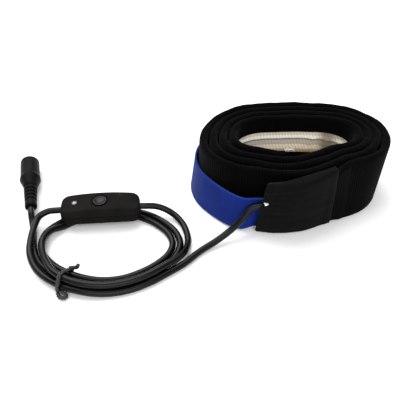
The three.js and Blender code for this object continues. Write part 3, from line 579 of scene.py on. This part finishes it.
pin = turned("socket_pin", pin_profile, pin_nickel, SOCKET_REAR, SOCKET_AXIS, 32, (0, 0, 1))
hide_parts("socket_centre_pin")
socket_pieces = [moulding, insert, pin]
for piece in socket_pieces:
    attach(piece, "strip_and_lead")

# Strip, the knitted cover
# A black rib-knit sleeve, folded over the edges of the heating tape so that its hems frame the tape.
# It is rolled up four times on its edge, wound tighter on the far side than on the near one.

ROLL_CENTRE = (-0.0006, -0.0034, 0)
STRIP_WIDTH, STRIP_THICKNESS = 0.035, 0.0042
TURN_COUNT = 4.042
RIGHT_LEAN, LEAN_PIVOT = 0.007, 0.65
MOUTH_SLANT, SLANT_FROM = 0.013, 3.94
MIDDLE_TURN, STATIONS = 0.010, 31
hole_points = np.array([
    (-0.0045, -0.0070, 0.00595), (-0.0160, -0.0042, 0.0059), (-0.0250, -0.0002, 0.0062),
    (-0.0280, 0.0060, 0.0057), (-0.0260, 0.0155, 0.00475), (-0.0180, 0.0212, 0.0049),
    (-0.0020, 0.0226, 0.0051), (0.0140, 0.0224, 0.0050), (0.0270, 0.0202, 0.00485),
    (0.0323, 0.0135, 0.00485), (0.0295, 0.0060, 0.00495), (0.0185, 0.0016, 0.0053),
    (0.0065, -0.0038, 0.0057)]) + ROLL_CENTRE


def hole_at(t):
    """The edge of the roll's hole and the pitch there, at t from 0 to 1, and the way out from it: a
    closed centripetal Catmull-Rom curve, and its tangent turned a quarter to the left."""
    count = len(hole_points)
    place = (np.asarray(t) % 1) * count
    span = np.minimum(place.astype(int), count - 1)
    w = (place - span)[..., None]
    p0, p1, p2, p3 = (hole_points[(span + k) % count] for k in (-1, 0, 1, 2))
    leave, arrive = end_slopes(p0, p1, p2, p3)
    point = cubic(w, p1, p2, leave, arrive)
    slope = unit(((6 * w**2 - 6 * w) * (p1 - p2) + (3 * w**2 - 4 * w + 1) * leave
                  + (3 * w**2 - 2 * w) * arrive)[..., :2])
    return point[..., :2], point[..., 2], np.stack([-slope[..., 1], slope[..., 0]], axis=-1)


# Even steps of a turn are even lengths along a middle turn. Over them, the way out and the pitch are
# eased by a repeated mean of neighbours
samples = np.linspace(0, 1, 721)
edge, pitch, way_out = hole_at(samples)
run = run_along(edge + way_out * MIDDLE_TURN)
station_t = np.interp(np.linspace(0, run[-1], STATIONS), run, samples)
guide_turns = np.linspace(0, 1, 601)
edge, pitch, way_out = hole_at(np.interp(guide_turns, np.linspace(0, 1, STATIONS), station_t))
guide = np.column_stack([edge, pitch, way_out])[:-1]
for _ in range(60):
    guide[:, 2:] = (np.roll(guide[:, 2:], 1, 0) + 2 * guide[:, 2:] + np.roll(guide[:, 2:], -1, 0)) / 4
guide = np.vstack([guide, guide[:1]])


def guide_at(turn):
    """The hole's edge, the way out, the pitch of the winding, and how far the upper edges lean out at
    the right-hand bend: the square of the way out's part to the right."""
    x, y, pitch, *outward = (np.interp(np.asarray(turn) % 1, guide_turns, column) for column in guide.T)
    outward = unit(np.stack(outward, axis=-1))
    return np.stack([x, y], axis=-1), outward, pitch, RIGHT_LEAN * np.maximum(0, outward[..., 0])**2


# The outer end leaves the roll: at a turn, how far it stands off, and how far its lower edge is out
flap = np.array([(3.5, 0, 0), (3.62, 0, 0), (3.72, 0.0016, 0.0034), (3.78, 0.0029, 0.0044),
                 (3.825, 0.0023, 0.0052), (3.885, 0.0020, 0.0048), (3.93, 0.0010, 0.0014),
                 (3.965, 0.0008, 0.0002), (4.0, 0.0015, -0.0022), (TURN_COUNT, 0.0034, -0.0046)])
flap_turns = np.linspace(3.5, TURN_COUNT, 400)
flap_stand, flap_low = (np.interp(flap_turns, flap[:, 0], flap[:, k]) for k in (1, 2))
for _ in range(110):
    for line in (flap_stand, flap_low):
        line[1:-1] = (line[:-2] + 2 * line[1:-1] + line[2:]) / 4


def flap_at(turn, share):
    """How far the loose end is out at a share of its height: straight lines between its places, eased
    by a repeated mean of neighbours."""
    stand, low = (np.interp(turn, flap_turns, line) for line in (flap_stand, flap_low))
    return stand + low * (0.5 - share)


def strip_point(turn, outwards, height):
    """A point of the strip: from the hole's edge outwards by the pitch for each turn, half a
    thickness, the leans, how far the loose end is out, and outwards; at a height. The mouth's lower
    end is a little ahead of its upper end."""
    turn, outwards, height = np.broadcast_arrays(turn, outwards, height)
    share = height / STRIP_WIDTH
    at = turn + MOUTH_SLANT * (0.5 - share) * ramp(turn, SLANT_FROM, TURN_COUNT)
    point, outward, pitch, lean = guide_at(at)
    offset = (pitch * at + STRIP_THICKNESS / 2 + outwards + lean * (share - LEAN_PIVOT)
              + flap_at(at, share))
    return np.concatenate([point + outward * offset[..., None], height[..., None]], axis=-1)


turns = np.linspace(0, TURN_COUNT, 4043)
strip_run = run_along(strip_point(turns, 0, STRIP_WIDTH / 2))


def turn_before(length):
    """The turn that lies a length back from the mouth, along the middle of the strip."""
    return float(np.interp(strip_run[-1] - length, strip_run, turns))


POCKET_LENGTH, COVER_SHORT, DRAWN_IN = 0.040, 0.024, 0.002
pocket_start, cover_end = turn_before(POCKET_LENGTH), turn_before(COVER_SHORT)


def in_sleeve(turn, outwards, height):
    """A point of the strip, drawn in by a millimetre where the pocket goes over its end."""
    drawn = DRAWN_IN / STRIP_WIDTH * ramp(turn, pocket_start - 0.03, pocket_start - 0.005)
    return strip_point(turn, outwards, height + (STRIP_WIDTH / 2 - height) * drawn)


def ripple(length, seed):
    """Slow unevenness along the cloth: three sines of unlike lengths."""
    return (0.5 * np.sin(length / 0.0051 + seed) + 0.3 * np.sin(length / 0.0027 + 2.3 * seed)
            + 0.2 * np.sin(length / 0.0012 + 3.7 * seed))


def thick_line(line, thickness):
    """A closed profile round an open line: the line moved half a thickness to its left, and back to
    its right."""
    line = np.asarray(line, float)
    slope = unit(np.gradient(line, axis=0))
    left = np.column_stack([-slope[:, 1], slope[:, 0]]) * thickness / 2
    return np.vstack([line + left, (line - left)[::-1]])


# Rib knit: fine ribs across the strip, each a column of small stitches, with loose fibres over them
knit, given, made = effect("Ribbed knit", {"Vector": "Vector", "Rib": "Float", "Row": "Float"},
                           ["Height", "Rib shade", "Patches"])
axes = add(knit, "SeparateXYZ", {"Vector": given.outputs["Vector"]})
drift = add(knit, "TexNoise", {"Vector": given.outputs["Vector"], "Scale": 260.0, "Detail": 2.0})
along = sum_of(knit, "DIVIDE", axes.outputs[0], given.outputs["Rib"])
along = sum_of(knit, "ADD", along, sum_of(knit, "MULTIPLY", drift.outputs[0], 0.5))
rib = sum_of(knit, "SINE", sum_of(knit, "MULTIPLY", along, 2 * math.pi))
rib = sum_of(knit, "MULTIPLY_ADD", rib, 0.5, 0.5)
row = sum_of(knit, "SINE", sum_of(knit, "MULTIPLY", sum_of(knit, "DIVIDE", axes.outputs[1],
                                                          given.outputs["Row"]), 2 * math.pi))
row = sum_of(knit, "MULTIPLY_ADD", row, 0.5, 0.5)
fibre = add(knit, "TexNoise", {"Vector": given.outputs["Vector"], "Scale": 2600.0, "Detail": 3.0})
height = sum_of(knit, "MULTIPLY_ADD", rib, 0.6, sum_of(knit, "MULTIPLY", row, 0.15))
height = sum_of(knit, "MULTIPLY_ADD", fibre.outputs[0], 0.35, height)
wash = add(knit, "TexNoise", {"Vector": given.outputs["Vector"], "Scale": 70.0, "Detail": 3.0})
wash = add(knit, "MapRange", {"Value": wash.outputs[0], "From Min": 0.3, "From Max": 0.7})
knit.links.new(height, made.inputs["Height"])
knit.links.new(rib, made.inputs["Rib shade"])
knit.links.new(wash.outputs[0], made.inputs["Patches"])

rib_knit, tree, shader = finish("black_rib_knit", roughness=0.95, specular_ior_level=0.02,
                                sheen_weight=0.02, sheen_roughness=0.45)
lengths = add(tree, "UVMap", uv_map="lengths")
weave = use(tree, knit, {"Vector": lengths.outputs[0], "Rib": 0.0014, "Row": 0.0010})
# The black knit is painted lighter on its rib crests and darker in the grooves between them: painted shade
# in the grooves, mixed with random patches of tone.
shade = sum_of(tree, "MULTIPLY_ADD", weave.outputs["Rib shade"], 0.6,
               sum_of(tree, "MULTIPLY", weave.outputs["Patches"], 0.4))
tree.links.new(colour_between(tree, shade, (0.0005, 0.0005, 0.0006), (0.0022, 0.0022, 0.0022)),
               shader.inputs["Base Color"])
bumped(tree, shader, weave.outputs["Height"], 0.7, 0.0003)

WALL, LIP = 0.0008, 0.010
HEM = 0.0015
mid = STRIP_THICKNESS / 2 - WALL / 2
fold = HEM + WALL / 2
bend = np.linspace(0, math.pi, 13)
lip_low = np.linspace(LIP, fold, 8)
face = np.linspace(fold, STRIP_WIDTH - fold, 14)[1:-1]
line = np.vstack([
    np.column_stack([np.full(8, -mid), lip_low]),
    np.column_stack([-mid * np.cos(bend), fold - HEM * np.sin(bend)])[1:],
    np.column_stack([mid + 0.0002 * np.sin(math.pi * face / STRIP_WIDTH), face]),
    np.column_stack([mid * np.cos(bend), STRIP_WIDTH - fold + HEM * np.sin(bend)]),
    np.column_stack([np.full(8, -mid), STRIP_WIDTH - lip_low[::-1]])[1:],
])
profile = thick_line(line, WALL)
ring_turns = np.linspace(0, cover_end, 620)[:, None]
ring_run = np.interp(ring_turns, turns, strip_run)
upper_edge = ramp(profile[:, 1], 0.024, STRIP_WIDTH)[None]
outwards = profile[:, 0][None] + 0.00018 * ripple(ring_run, 1.0) * upper_edge
heights = profile[:, 1][None] + 0.0003 * ripple(ring_run, 4.0) * upper_edge
cover = surface("knitted_cover", in_sleeve(ring_turns, outwards, heights), rib_knit)
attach(cover, "strip_and_lead")
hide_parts("strip_cover")

# Strip, the heating tape
# A silver and beige knitted tape behind the cover's hems, with bright and dark yarns worked in along
# It shows where the strip faces the hole, and is puckered at the right-hand bend, where the tape is painted
# dark brown as shade in the folds.

TAPE_START, PUCKER_TURN, STRIPES_FROM, STRIPES_HIGH = 0.28, 0.60, 0.0103, 0.015
TAPE_IN, TAPE_THICKNESS = 0.0065, 0.0005
tape_face = -(STRIP_THICKNESS / 2 - WALL) + 0.0003
tape_knit, tree, shader = finish("heating_knit", roughness=0.75, specular_ior_level=0.3, sheen_weight=0.1,
                                 sheen_roughness=0.4)
lengths = add(tree, "UVMap", uv_map="lengths")
weave = use(tree, knit, {"Vector": lengths.outputs[0], "Rib": 0.0009, "Row": 0.0011})
places = add(tree, "TexCoord")
level = add(tree, "SeparateXYZ", {"Vector": places.outputs["Object"]}).outputs[2]
drift = add(tree, "TexNoise", {"Vector": places.outputs["Object"], "Scale": 900.0, "Detail": 2.0})
level = sum_of(tree, "SUBTRACT", level, STRIPES_FROM)
level = sum_of(tree, "MULTIPLY_ADD", drift.outputs[0], 0.0006, level)
level = sum_of(tree, "DIVIDE", level, STRIPES_HIGH)
bands = add(tree, "ValToRGB", {"Fac": level})
stripes = [
    (0.00, (0.46, 0.37, 0.25)), (0.14, (0.52, 0.42, 0.29)), (0.18, (0.86, 0.74, 0.55)),
    (0.36, (0.88, 0.77, 0.60)), (0.40, (0.50, 0.45, 0.38)), (0.58, (0.56, 0.50, 0.43)),
    (0.61, (0.20, 0.175, 0.15)), (0.66, (0.30, 0.27, 0.23)), (0.69, (1.0, 0.95, 0.86)),
    (0.79, (1.0, 0.97, 0.88)), (0.83, (0.72, 0.64, 0.51)), (1.00, (0.80, 0.70, 0.55))]
while len(bands.color_ramp.elements) < len(stripes):
    bands.color_ramp.elements.new(0.5)
for element, (position, colour) in zip(bands.color_ramp.elements, stripes):
    element.position = position
    element.color = (*colour, 1)
# The tape is painted darker in the hollows of its knit and lighter on the raised stitches: painted shade in
# the hollows, laid over the stripes.
knit_hollow_shade = sum_of(tree, "MULTIPLY_ADD", weave.outputs["Height"], 1.5, 0.30)
knit_hollow_shaded = add(tree, "Mix", {"Factor": 0.75, 6: bands.outputs[0], 7: knit_hollow_shade}, data_type="RGBA",
             blend_type="MULTIPLY")
pucker_run = float(np.interp(PUCKER_TURN, turns, strip_run))
along = add(tree, "SeparateXYZ", {"Vector": lengths.outputs[0]}).outputs[0]
past_pucker = sum_of(tree, "SUBTRACT", along, pucker_run - float(np.interp(TAPE_START, turns, strip_run)))
# Near the pucker the tape is darkened to brown: painted shade in its folds, strongest at the middle of the
# fold.
fold_shade = add(tree, "MapRange", {"Value": sum_of(tree, "ABSOLUTE", past_pucker), "From Min": 0.002,
                                "From Max": 0.007, "To Min": 0.75, "To Max": 0.0})
shaded = add(tree, "Mix", {"Factor": fold_shade.outputs[0], 6: knit_hollow_shaded.outputs[2], 7: (0.16, 0.11, 0.065, 1)},
             data_type="RGBA")
tree.links.new(shaded.outputs[2], shader.inputs["Base Color"])
bumped(tree, shader, weave.outputs["Height"], 0.8, 0.0004)

tape_edge = np.linspace(TAPE_IN, STRIP_WIDTH - TAPE_IN, 28)
tape_line = np.column_stack([np.full(28, tape_face + TAPE_THICKNESS / 2), tape_edge])
profile = thick_line(tape_line, TAPE_THICKNESS)
ring_turns = np.linspace(TAPE_START, cover_end, 520)[:, None]
window = np.sin(math.pi * np.clip((profile[:, 1] - LIP) / (STRIP_WIDTH - 2 * LIP), 0, 1))[None]
ring_run = np.interp(ring_turns, turns, strip_run)
slant = ring_run - pucker_run - 0.5 * (profile[:, 1][None] - STRIP_WIDTH / 2)
pucker = 0.0019 * np.exp(-(slant / 0.0030)**2) + 0.0011 * np.exp(-((slant + 0.009) / 0.0024)**2)
outwards = profile[:, 0][None] - window * (pucker + 0.00012 * (1 + ripple(ring_run, 2.0)))
tape = surface("heating_band", in_sleeve(ring_turns, outwards, profile[:, 1][None]), tape_knit)
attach(tape, "strip_and_lead")
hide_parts("heating_tape")

# Strip, the facing of the inner end, felt and wires
# Plain black cloth takes the tape's place on the first stretch. A grey felt lies behind the tape, and
# a bare copper wire runs along each edge of it.

plain_cloth, tree, shader = finish("black_plain_cloth", roughness=0.92, specular_ior_level=0.03,
                                   sheen_weight=0.03, sheen_roughness=0.45)
lengths = add(tree, "UVMap", uv_map="lengths")
weave = use(tree, knit, {"Vector": lengths.outputs[0], "Rib": 0.0007, "Row": 0.0007})
stretched = add(tree, "Mapping", {"Vector": lengths.outputs[0], "Scale": (28.0, 330.0, 1.0)})
streaks = add(tree, "TexNoise", {"Vector": stretched.outputs[0], "Scale": 1.0, "Detail": 3.0})
streaks = add(tree, "MapRange", {"Value": streaks.outputs[0], "From Min": 0.35, "From Max": 0.7})
shade = sum_of(tree, "MULTIPLY_ADD", streaks.outputs[0], 0.65,
               sum_of(tree, "MULTIPLY", weave.outputs["Patches"], 0.35))
tree.links.new(colour_between(tree, shade, (0.0020, 0.0020, 0.0020), (0.0046, 0.0046, 0.0044)),
               shader.inputs["Base Color"])
height = sum_of(tree, "MULTIPLY_ADD", streaks.outputs[0], 0.6,
                sum_of(tree, "MULTIPLY", weave.outputs["Height"], 0.5))
bumped(tree, shader, height, 0.6, 0.0003)

facing_line = np.column_stack([np.full(16, tape_face - 0.0002), np.linspace(0.0104, 0.0246, 16)])
profile = thick_line(facing_line, 0.0007)
ring_turns = np.linspace(0.01, TAPE_START - 0.01, 60)[:, None]
facing = surface("plain_facing", strip_point(ring_turns, profile[:, 0][None], profile[:, 1][None]),
                 plain_cloth)
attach(facing, "strip_and_lead")
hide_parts("tail_facing")
dress("insulation_felt", plain_finish("grey_felt", (0.20, 0.20, 0.19), (0.34, 0.34, 0.33), 1.0,
                                      grain_size=1800.0, patch=300.0, depth=0.0004))
copper = plain_finish("bare_copper", (0.62, 0.33, 0.20), (0.72, 0.42, 0.27), 0.3, 1.0)
for node in ("heating_wire_lower", "heating_wire_upper", "core_wire_lower", "core_wire_upper"):
    dress(node, copper)
tinned = plain_finish("tinned_crimp", (0.55, 0.56, 0.57), (0.66, 0.66, 0.66), 0.35, 1.0)
dress("crimp_lower", tinned)
dress("crimp_upper", tinned)

# End pocket
# A plain black cloth sleeve sewn over the strip's outer end. Its mouth is hemmed and holds the strap
# and the lead, and above them its two sides are pressed together.

POCKET_RISE, POCKET_WALL, HEM_PLACE, MOUTH_PLACE = 0.0005, 0.0007, 0.86, 0.97
pocket_height = STRIP_WIDTH + POCKET_RISE


def pocket_section(depth_in, mouthward, around):
    """Outwards and height of the pocket's wall. Its section is a rounded rectangle: a sine and a
    cosine drawn out by a power, and drawn in by depth_in. Towards the mouth it thickens from the
    strip's end to the joints, and its upper part closes on itself."""
    height_half = pocket_height / 2 - depth_in
    c, s = np.cos(around), np.sin(around)
    z = pocket_height / 2 + height_half * np.sign(s) * np.abs(s)**0.28
    full = 0.0024 + 0.0004 * ramp(mouthward, 0, 0.09) + 0.0009 * ramp(mouthward, 0.08, 0.56)
    shut = ramp(mouthward, 0.55, 1.0) * ramp(z, 0.021, 0.031)
    outer = full - depth_in
    inner = full - depth_in - shut * 0.0048
    x = np.where(c > 0, outer, inner) * np.sign(c) * np.abs(c)**0.35
    return x, z


around = np.linspace(0, 2 * math.pi, 96, endpoint=False)[None]
body = np.linspace(0, MOUTH_PLACE, 44)
lip = 1 - (1 - MOUTH_PLACE) * np.cos(np.linspace(0.2, math.pi / 2, 5))
mouthward = np.concatenate([body, lip, lip[::-1], body[::-1]])
turned_in = np.sin(np.linspace(0, math.pi / 2, 5))
depth = np.concatenate([np.zeros(44), POCKET_WALL / 2 * (1 - turned_in[::-1]),
                        POCKET_WALL / 2 * (1 + turned_in), np.full(44, POCKET_WALL)])
wall = depth[:, None] * (0.15 + 0.85 * ramp(mouthward[:, None], 0, 0.09))
x, z = pocket_section(wall, mouthward[:, None], around)
hem_line = -0.00022 * np.exp(-((mouthward[:, None] - HEM_PLACE) / 0.012)**2) * (depth[:, None] < 0.0003)
hem_roll = 0.0002 * ramp(mouthward[:, None], 0.93, 0.99) * (depth[:, None] < 0.0003)
x = x + np.sign(x) * (hem_line + hem_roll)
pocket_turns = pocket_start + (TURN_COUNT - pocket_start) * mouthward[:, None]
pocket_run = np.interp(pocket_turns, turns, strip_run)
x = x + 0.0002 * ripple(pocket_run + 0.3 * z, 5.0) * ramp(mouthward[:, None], 0.1, 0.5)
pocket = surface("cloth_pocket", strip_point(pocket_turns, x, z), plain_cloth, along=True)
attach(pocket, "strip_and_lead")
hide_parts("end_pocket")

# Elastic strap
# Royal blue elastic webbing, sewn into the pocket and led round the left of the roll to the far
# side, where its hook patch holds it to the knit. A thin lighter cord runs along each edge.

STRAP_WIDTH, STRAP_THICKNESS, STRAP_LIFT = 0.021, 0.0010, 0.0010
STRAP_BOWED, STRAP_SETTLED, STRAP_FLAT, STRAP_END = TURN_COUNT + 0.042, 4.15, 4.36, 4.62
STRAP_INSIDE, STRAP_SEWN_IN, STRAP_BOW, STRAP_LEAN, STRAP_GAP = 0.0028, 0.012, 0.0036, 0.0026, 0.0015


def strap_point(turn, outwards, height):
    """A point of the strap: in the pocket against its inner wall, then bowed out past the mouth, then
    closing on the turn below, upper edge first."""
    turn, outwards, height = np.broadcast_arrays(turn, outwards, height)
    point, outward, pitch, lean = guide_at(turn)
    share = height / STRIP_WIDTH
    in_pocket = (pitch * turn + STRIP_THICKNESS / 2 - STRAP_INSIDE
                 + flap_at(np.minimum(turn, TURN_COUNT), share))
    on_roll = pitch * (turn - 1) + STRIP_THICKNESS + STRAP_GAP
    out_of_mouth = ramp(turn, TURN_COUNT - 0.006, STRAP_BOWED)
    leaning = out_of_mouth * (1 - ramp(turn, STRAP_FLAT - 0.1, STRAP_FLAT))
    bowed = out_of_mouth * (1 - ramp(turn, STRAP_BOWED, STRAP_SETTLED))
    slack = STRAP_BOW * bowed + STRAP_LEAN * leaning * (1 - (height - STRAP_LIFT) / STRAP_WIDTH)
    offset = (in_pocket + (on_roll - in_pocket) * ramp(turn, TURN_COUNT, STRAP_SETTLED) + slack
              + lean * (share - LEAN_PIVOT) + outwards)
    return np.concatenate([point + outward * offset[..., None], height[..., None]], axis=-1)


webbing, tree, shader = finish("blue_webbing", roughness=0.8, specular_ior_level=0.08,
                               sheen_weight=0.04, sheen_roughness=0.4)
lengths = add(tree, "UVMap", uv_map="lengths")
weave = use(tree, knit, {"Vector": lengths.outputs[0], "Rib": 0.0008, "Row": 0.0006})
# The webbing is painted lighter on its raised yarns and darker in the hollows of the weave: painted shade
# in the hollows, mixed with random patches of tone.
shade = sum_of(tree, "MULTIPLY_ADD", weave.outputs["Height"], 0.6,
               sum_of(tree, "MULTIPLY", weave.outputs["Patches"], 0.35))
body_blue = colour_between(tree, shade, (0.0020, 0.0100, 0.088), (0.0046, 0.0230, 0.215))
places = add(tree, "TexCoord")
level = add(tree, "SeparateXYZ", {"Vector": places.outputs["Object"]}).outputs[2]
from_middle = sum_of(tree, "ABSOLUTE", sum_of(tree, "SUBTRACT", level, STRAP_LIFT + STRAP_WIDTH / 2))
selvage = add(tree, "MapRange", {"Value": from_middle, "From Min": STRAP_WIDTH / 2 - 0.0007,
                                 "From Max": STRAP_WIDTH / 2 - 0.0004})
edged = add(tree, "Mix", {"Factor": selvage.outputs[0], 6: body_blue, 7: (0.010, 0.028, 0.20, 1)},
            data_type="RGBA")
tree.links.new(edged.outputs[2], shader.inputs["Base Color"])
bumped(tree, shader, weave.outputs["Height"], 0.6, 0.00025)

rise = np.linspace(STRAP_LIFT + 0.0001, STRAP_LIFT + STRAP_WIDTH - 0.0001, 30)
strap_line = np.column_stack([np.full(30, STRAP_THICKNESS / 2), rise])
profile = thick_line(strap_line, STRAP_THICKNESS)
edge_cord = np.exp(-((np.abs(profile[:, 1] - STRAP_LIFT - STRAP_WIDTH / 2) - STRAP_WIDTH / 2 + 0.0005)
                     / 0.0004)**2)
profile[:, 0] += 0.00012 * edge_cord * np.sign(profile[:, 0] - STRAP_THICKNESS / 2)
ring_turns = np.linspace(turn_before(STRAP_SEWN_IN), STRAP_END, 190)[:, None]
strap = surface("blue_strap", strap_point(ring_turns, profile[:, 0][None], profile[:, 1][None]), webbing)
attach(strap, "strip_and_lead")
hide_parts("elastic_strap")
dress("hook_patch", plain_finish("hook_tape", (0.008, 0.008, 0.009), (0.02, 0.02, 0.021), 0.6,
                                 grain_size=1100.0, patch=500.0, depth=0.0006))

# Sewing threads
# A white knot where the pocket's mouth is sewn, and three loose white ends of thread at the cut inner
# end of the strip.

KNOT_SIZE, KNOT_THREAD, LOOSE_THREAD = 0.00031, 0.00042, 0.00022
white_thread = plain_finish("white_thread", (0.62, 0.61, 0.58), (0.85, 0.84, 0.81), 0.7,
                            grain_size=5000.0, patch=900.0, depth=0.0001)
knot_turn = np.linspace(0, 2 * math.pi, 90, endpoint=False)
knot_path = np.column_stack([np.sin(knot_turn) + 2 * np.sin(2 * knot_turn),
                             np.cos(knot_turn) - 2 * np.cos(2 * knot_turn),
                             -np.sin(3 * knot_turn)]) * KNOT_SIZE
knot_place = strip_point(np.array(TURN_COUNT - 0.006), 0.0038, 0.0238)
ring = np.vstack([knot_path[-1:], knot_path, knot_path[:1]]) + knot_place
knot = surface("thread_knot", tube_grid(ring, KNOT_THREAD, 10, (0.31, 0.2, 0.93))[1:-1], white_thread,
               along=True)
threads = [knot]
tail_place = strip_point(np.array(0.0), -0.0012, 0.0345)
for k, shape in enumerate([
        [(0, 0, -0.0020), (0.0006, -0.0002, 0.0004), (0.0014, 0, 0.0009), (0.0026, -0.0003, 0.0006)],
        [(-0.0005, 0, -0.0020), (0.0002, 0.0002, 0.0005), (0.0010, -0.0004, 0.0011)],
        [(0.0018, 0, -0.0004), (0.0030, -0.0002, 0.0009), (0.0044, 0, 0.0006), (0.0050, 0.0002, -0.0008)]]):
    path = smooth_route(np.array(shape) + tail_place, 8)
    threads.append(surface(f"thread_tail_{k}", tube_grid(path, LOOSE_THREAD, 8, (0, 1, 0.1)), white_thread))
for piece in threads:
    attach(piece, "strip_and_lead")

# Floor and light
# A plain white table, a broad soft light from above and behind to the left, and a weak one in front.

floor_data = bpy.data.meshes.new("floor")
floor_data.from_pydata([(-3, -3, 0), (3, -3, 0), (3, 3, 0), (-3, 3, 0)], [], [(0, 1, 2, 3)])
floor = bpy.data.objects.new("floor", floor_data)
bpy.context.collection.objects.link(floor)
floor_data.materials.append(plain_finish("white_table", (0.93, 0.93, 0.935), (0.95, 0.95, 0.955), 0.8,
                                         grain_size=400.0, patch=2.0, depth=0.00002))

world = bpy.data.worlds.new("studio")
world.use_nodes = True
world.node_tree.nodes["Background"].inputs[0].default_value = (1, 1, 1, 1)
world.node_tree.nodes["Background"].inputs[1].default_value = 0.55
bpy.context.scene.world = world
bpy.context.scene.view_settings.view_transform = "Standard"


def panel(name, place, aim, size, power):
    """A square light panel at a place, turned to its aim."""
    light = bpy.data.lights.new(name, "AREA")
    light.size = size
    light.energy = power
    lamp = bpy.data.objects.new(name, light)
    lamp.location = place
    direction = np.array(aim) - np.array(place)
    lamp.rotation_euler = (math.acos(-direction[2] / np.linalg.norm(direction)), 0,
                           math.atan2(direction[1], direction[0]) - math.pi / 2)
    bpy.context.collection.objects.link(lamp)


panel("overhead", (-0.35, 0.45, 0.95), (-0.05, 0, 0), 1.1, 17.0)
panel("front", (0.10, -0.90, 0.70), (-0.05, 0, 0), 0.9, 9.0)
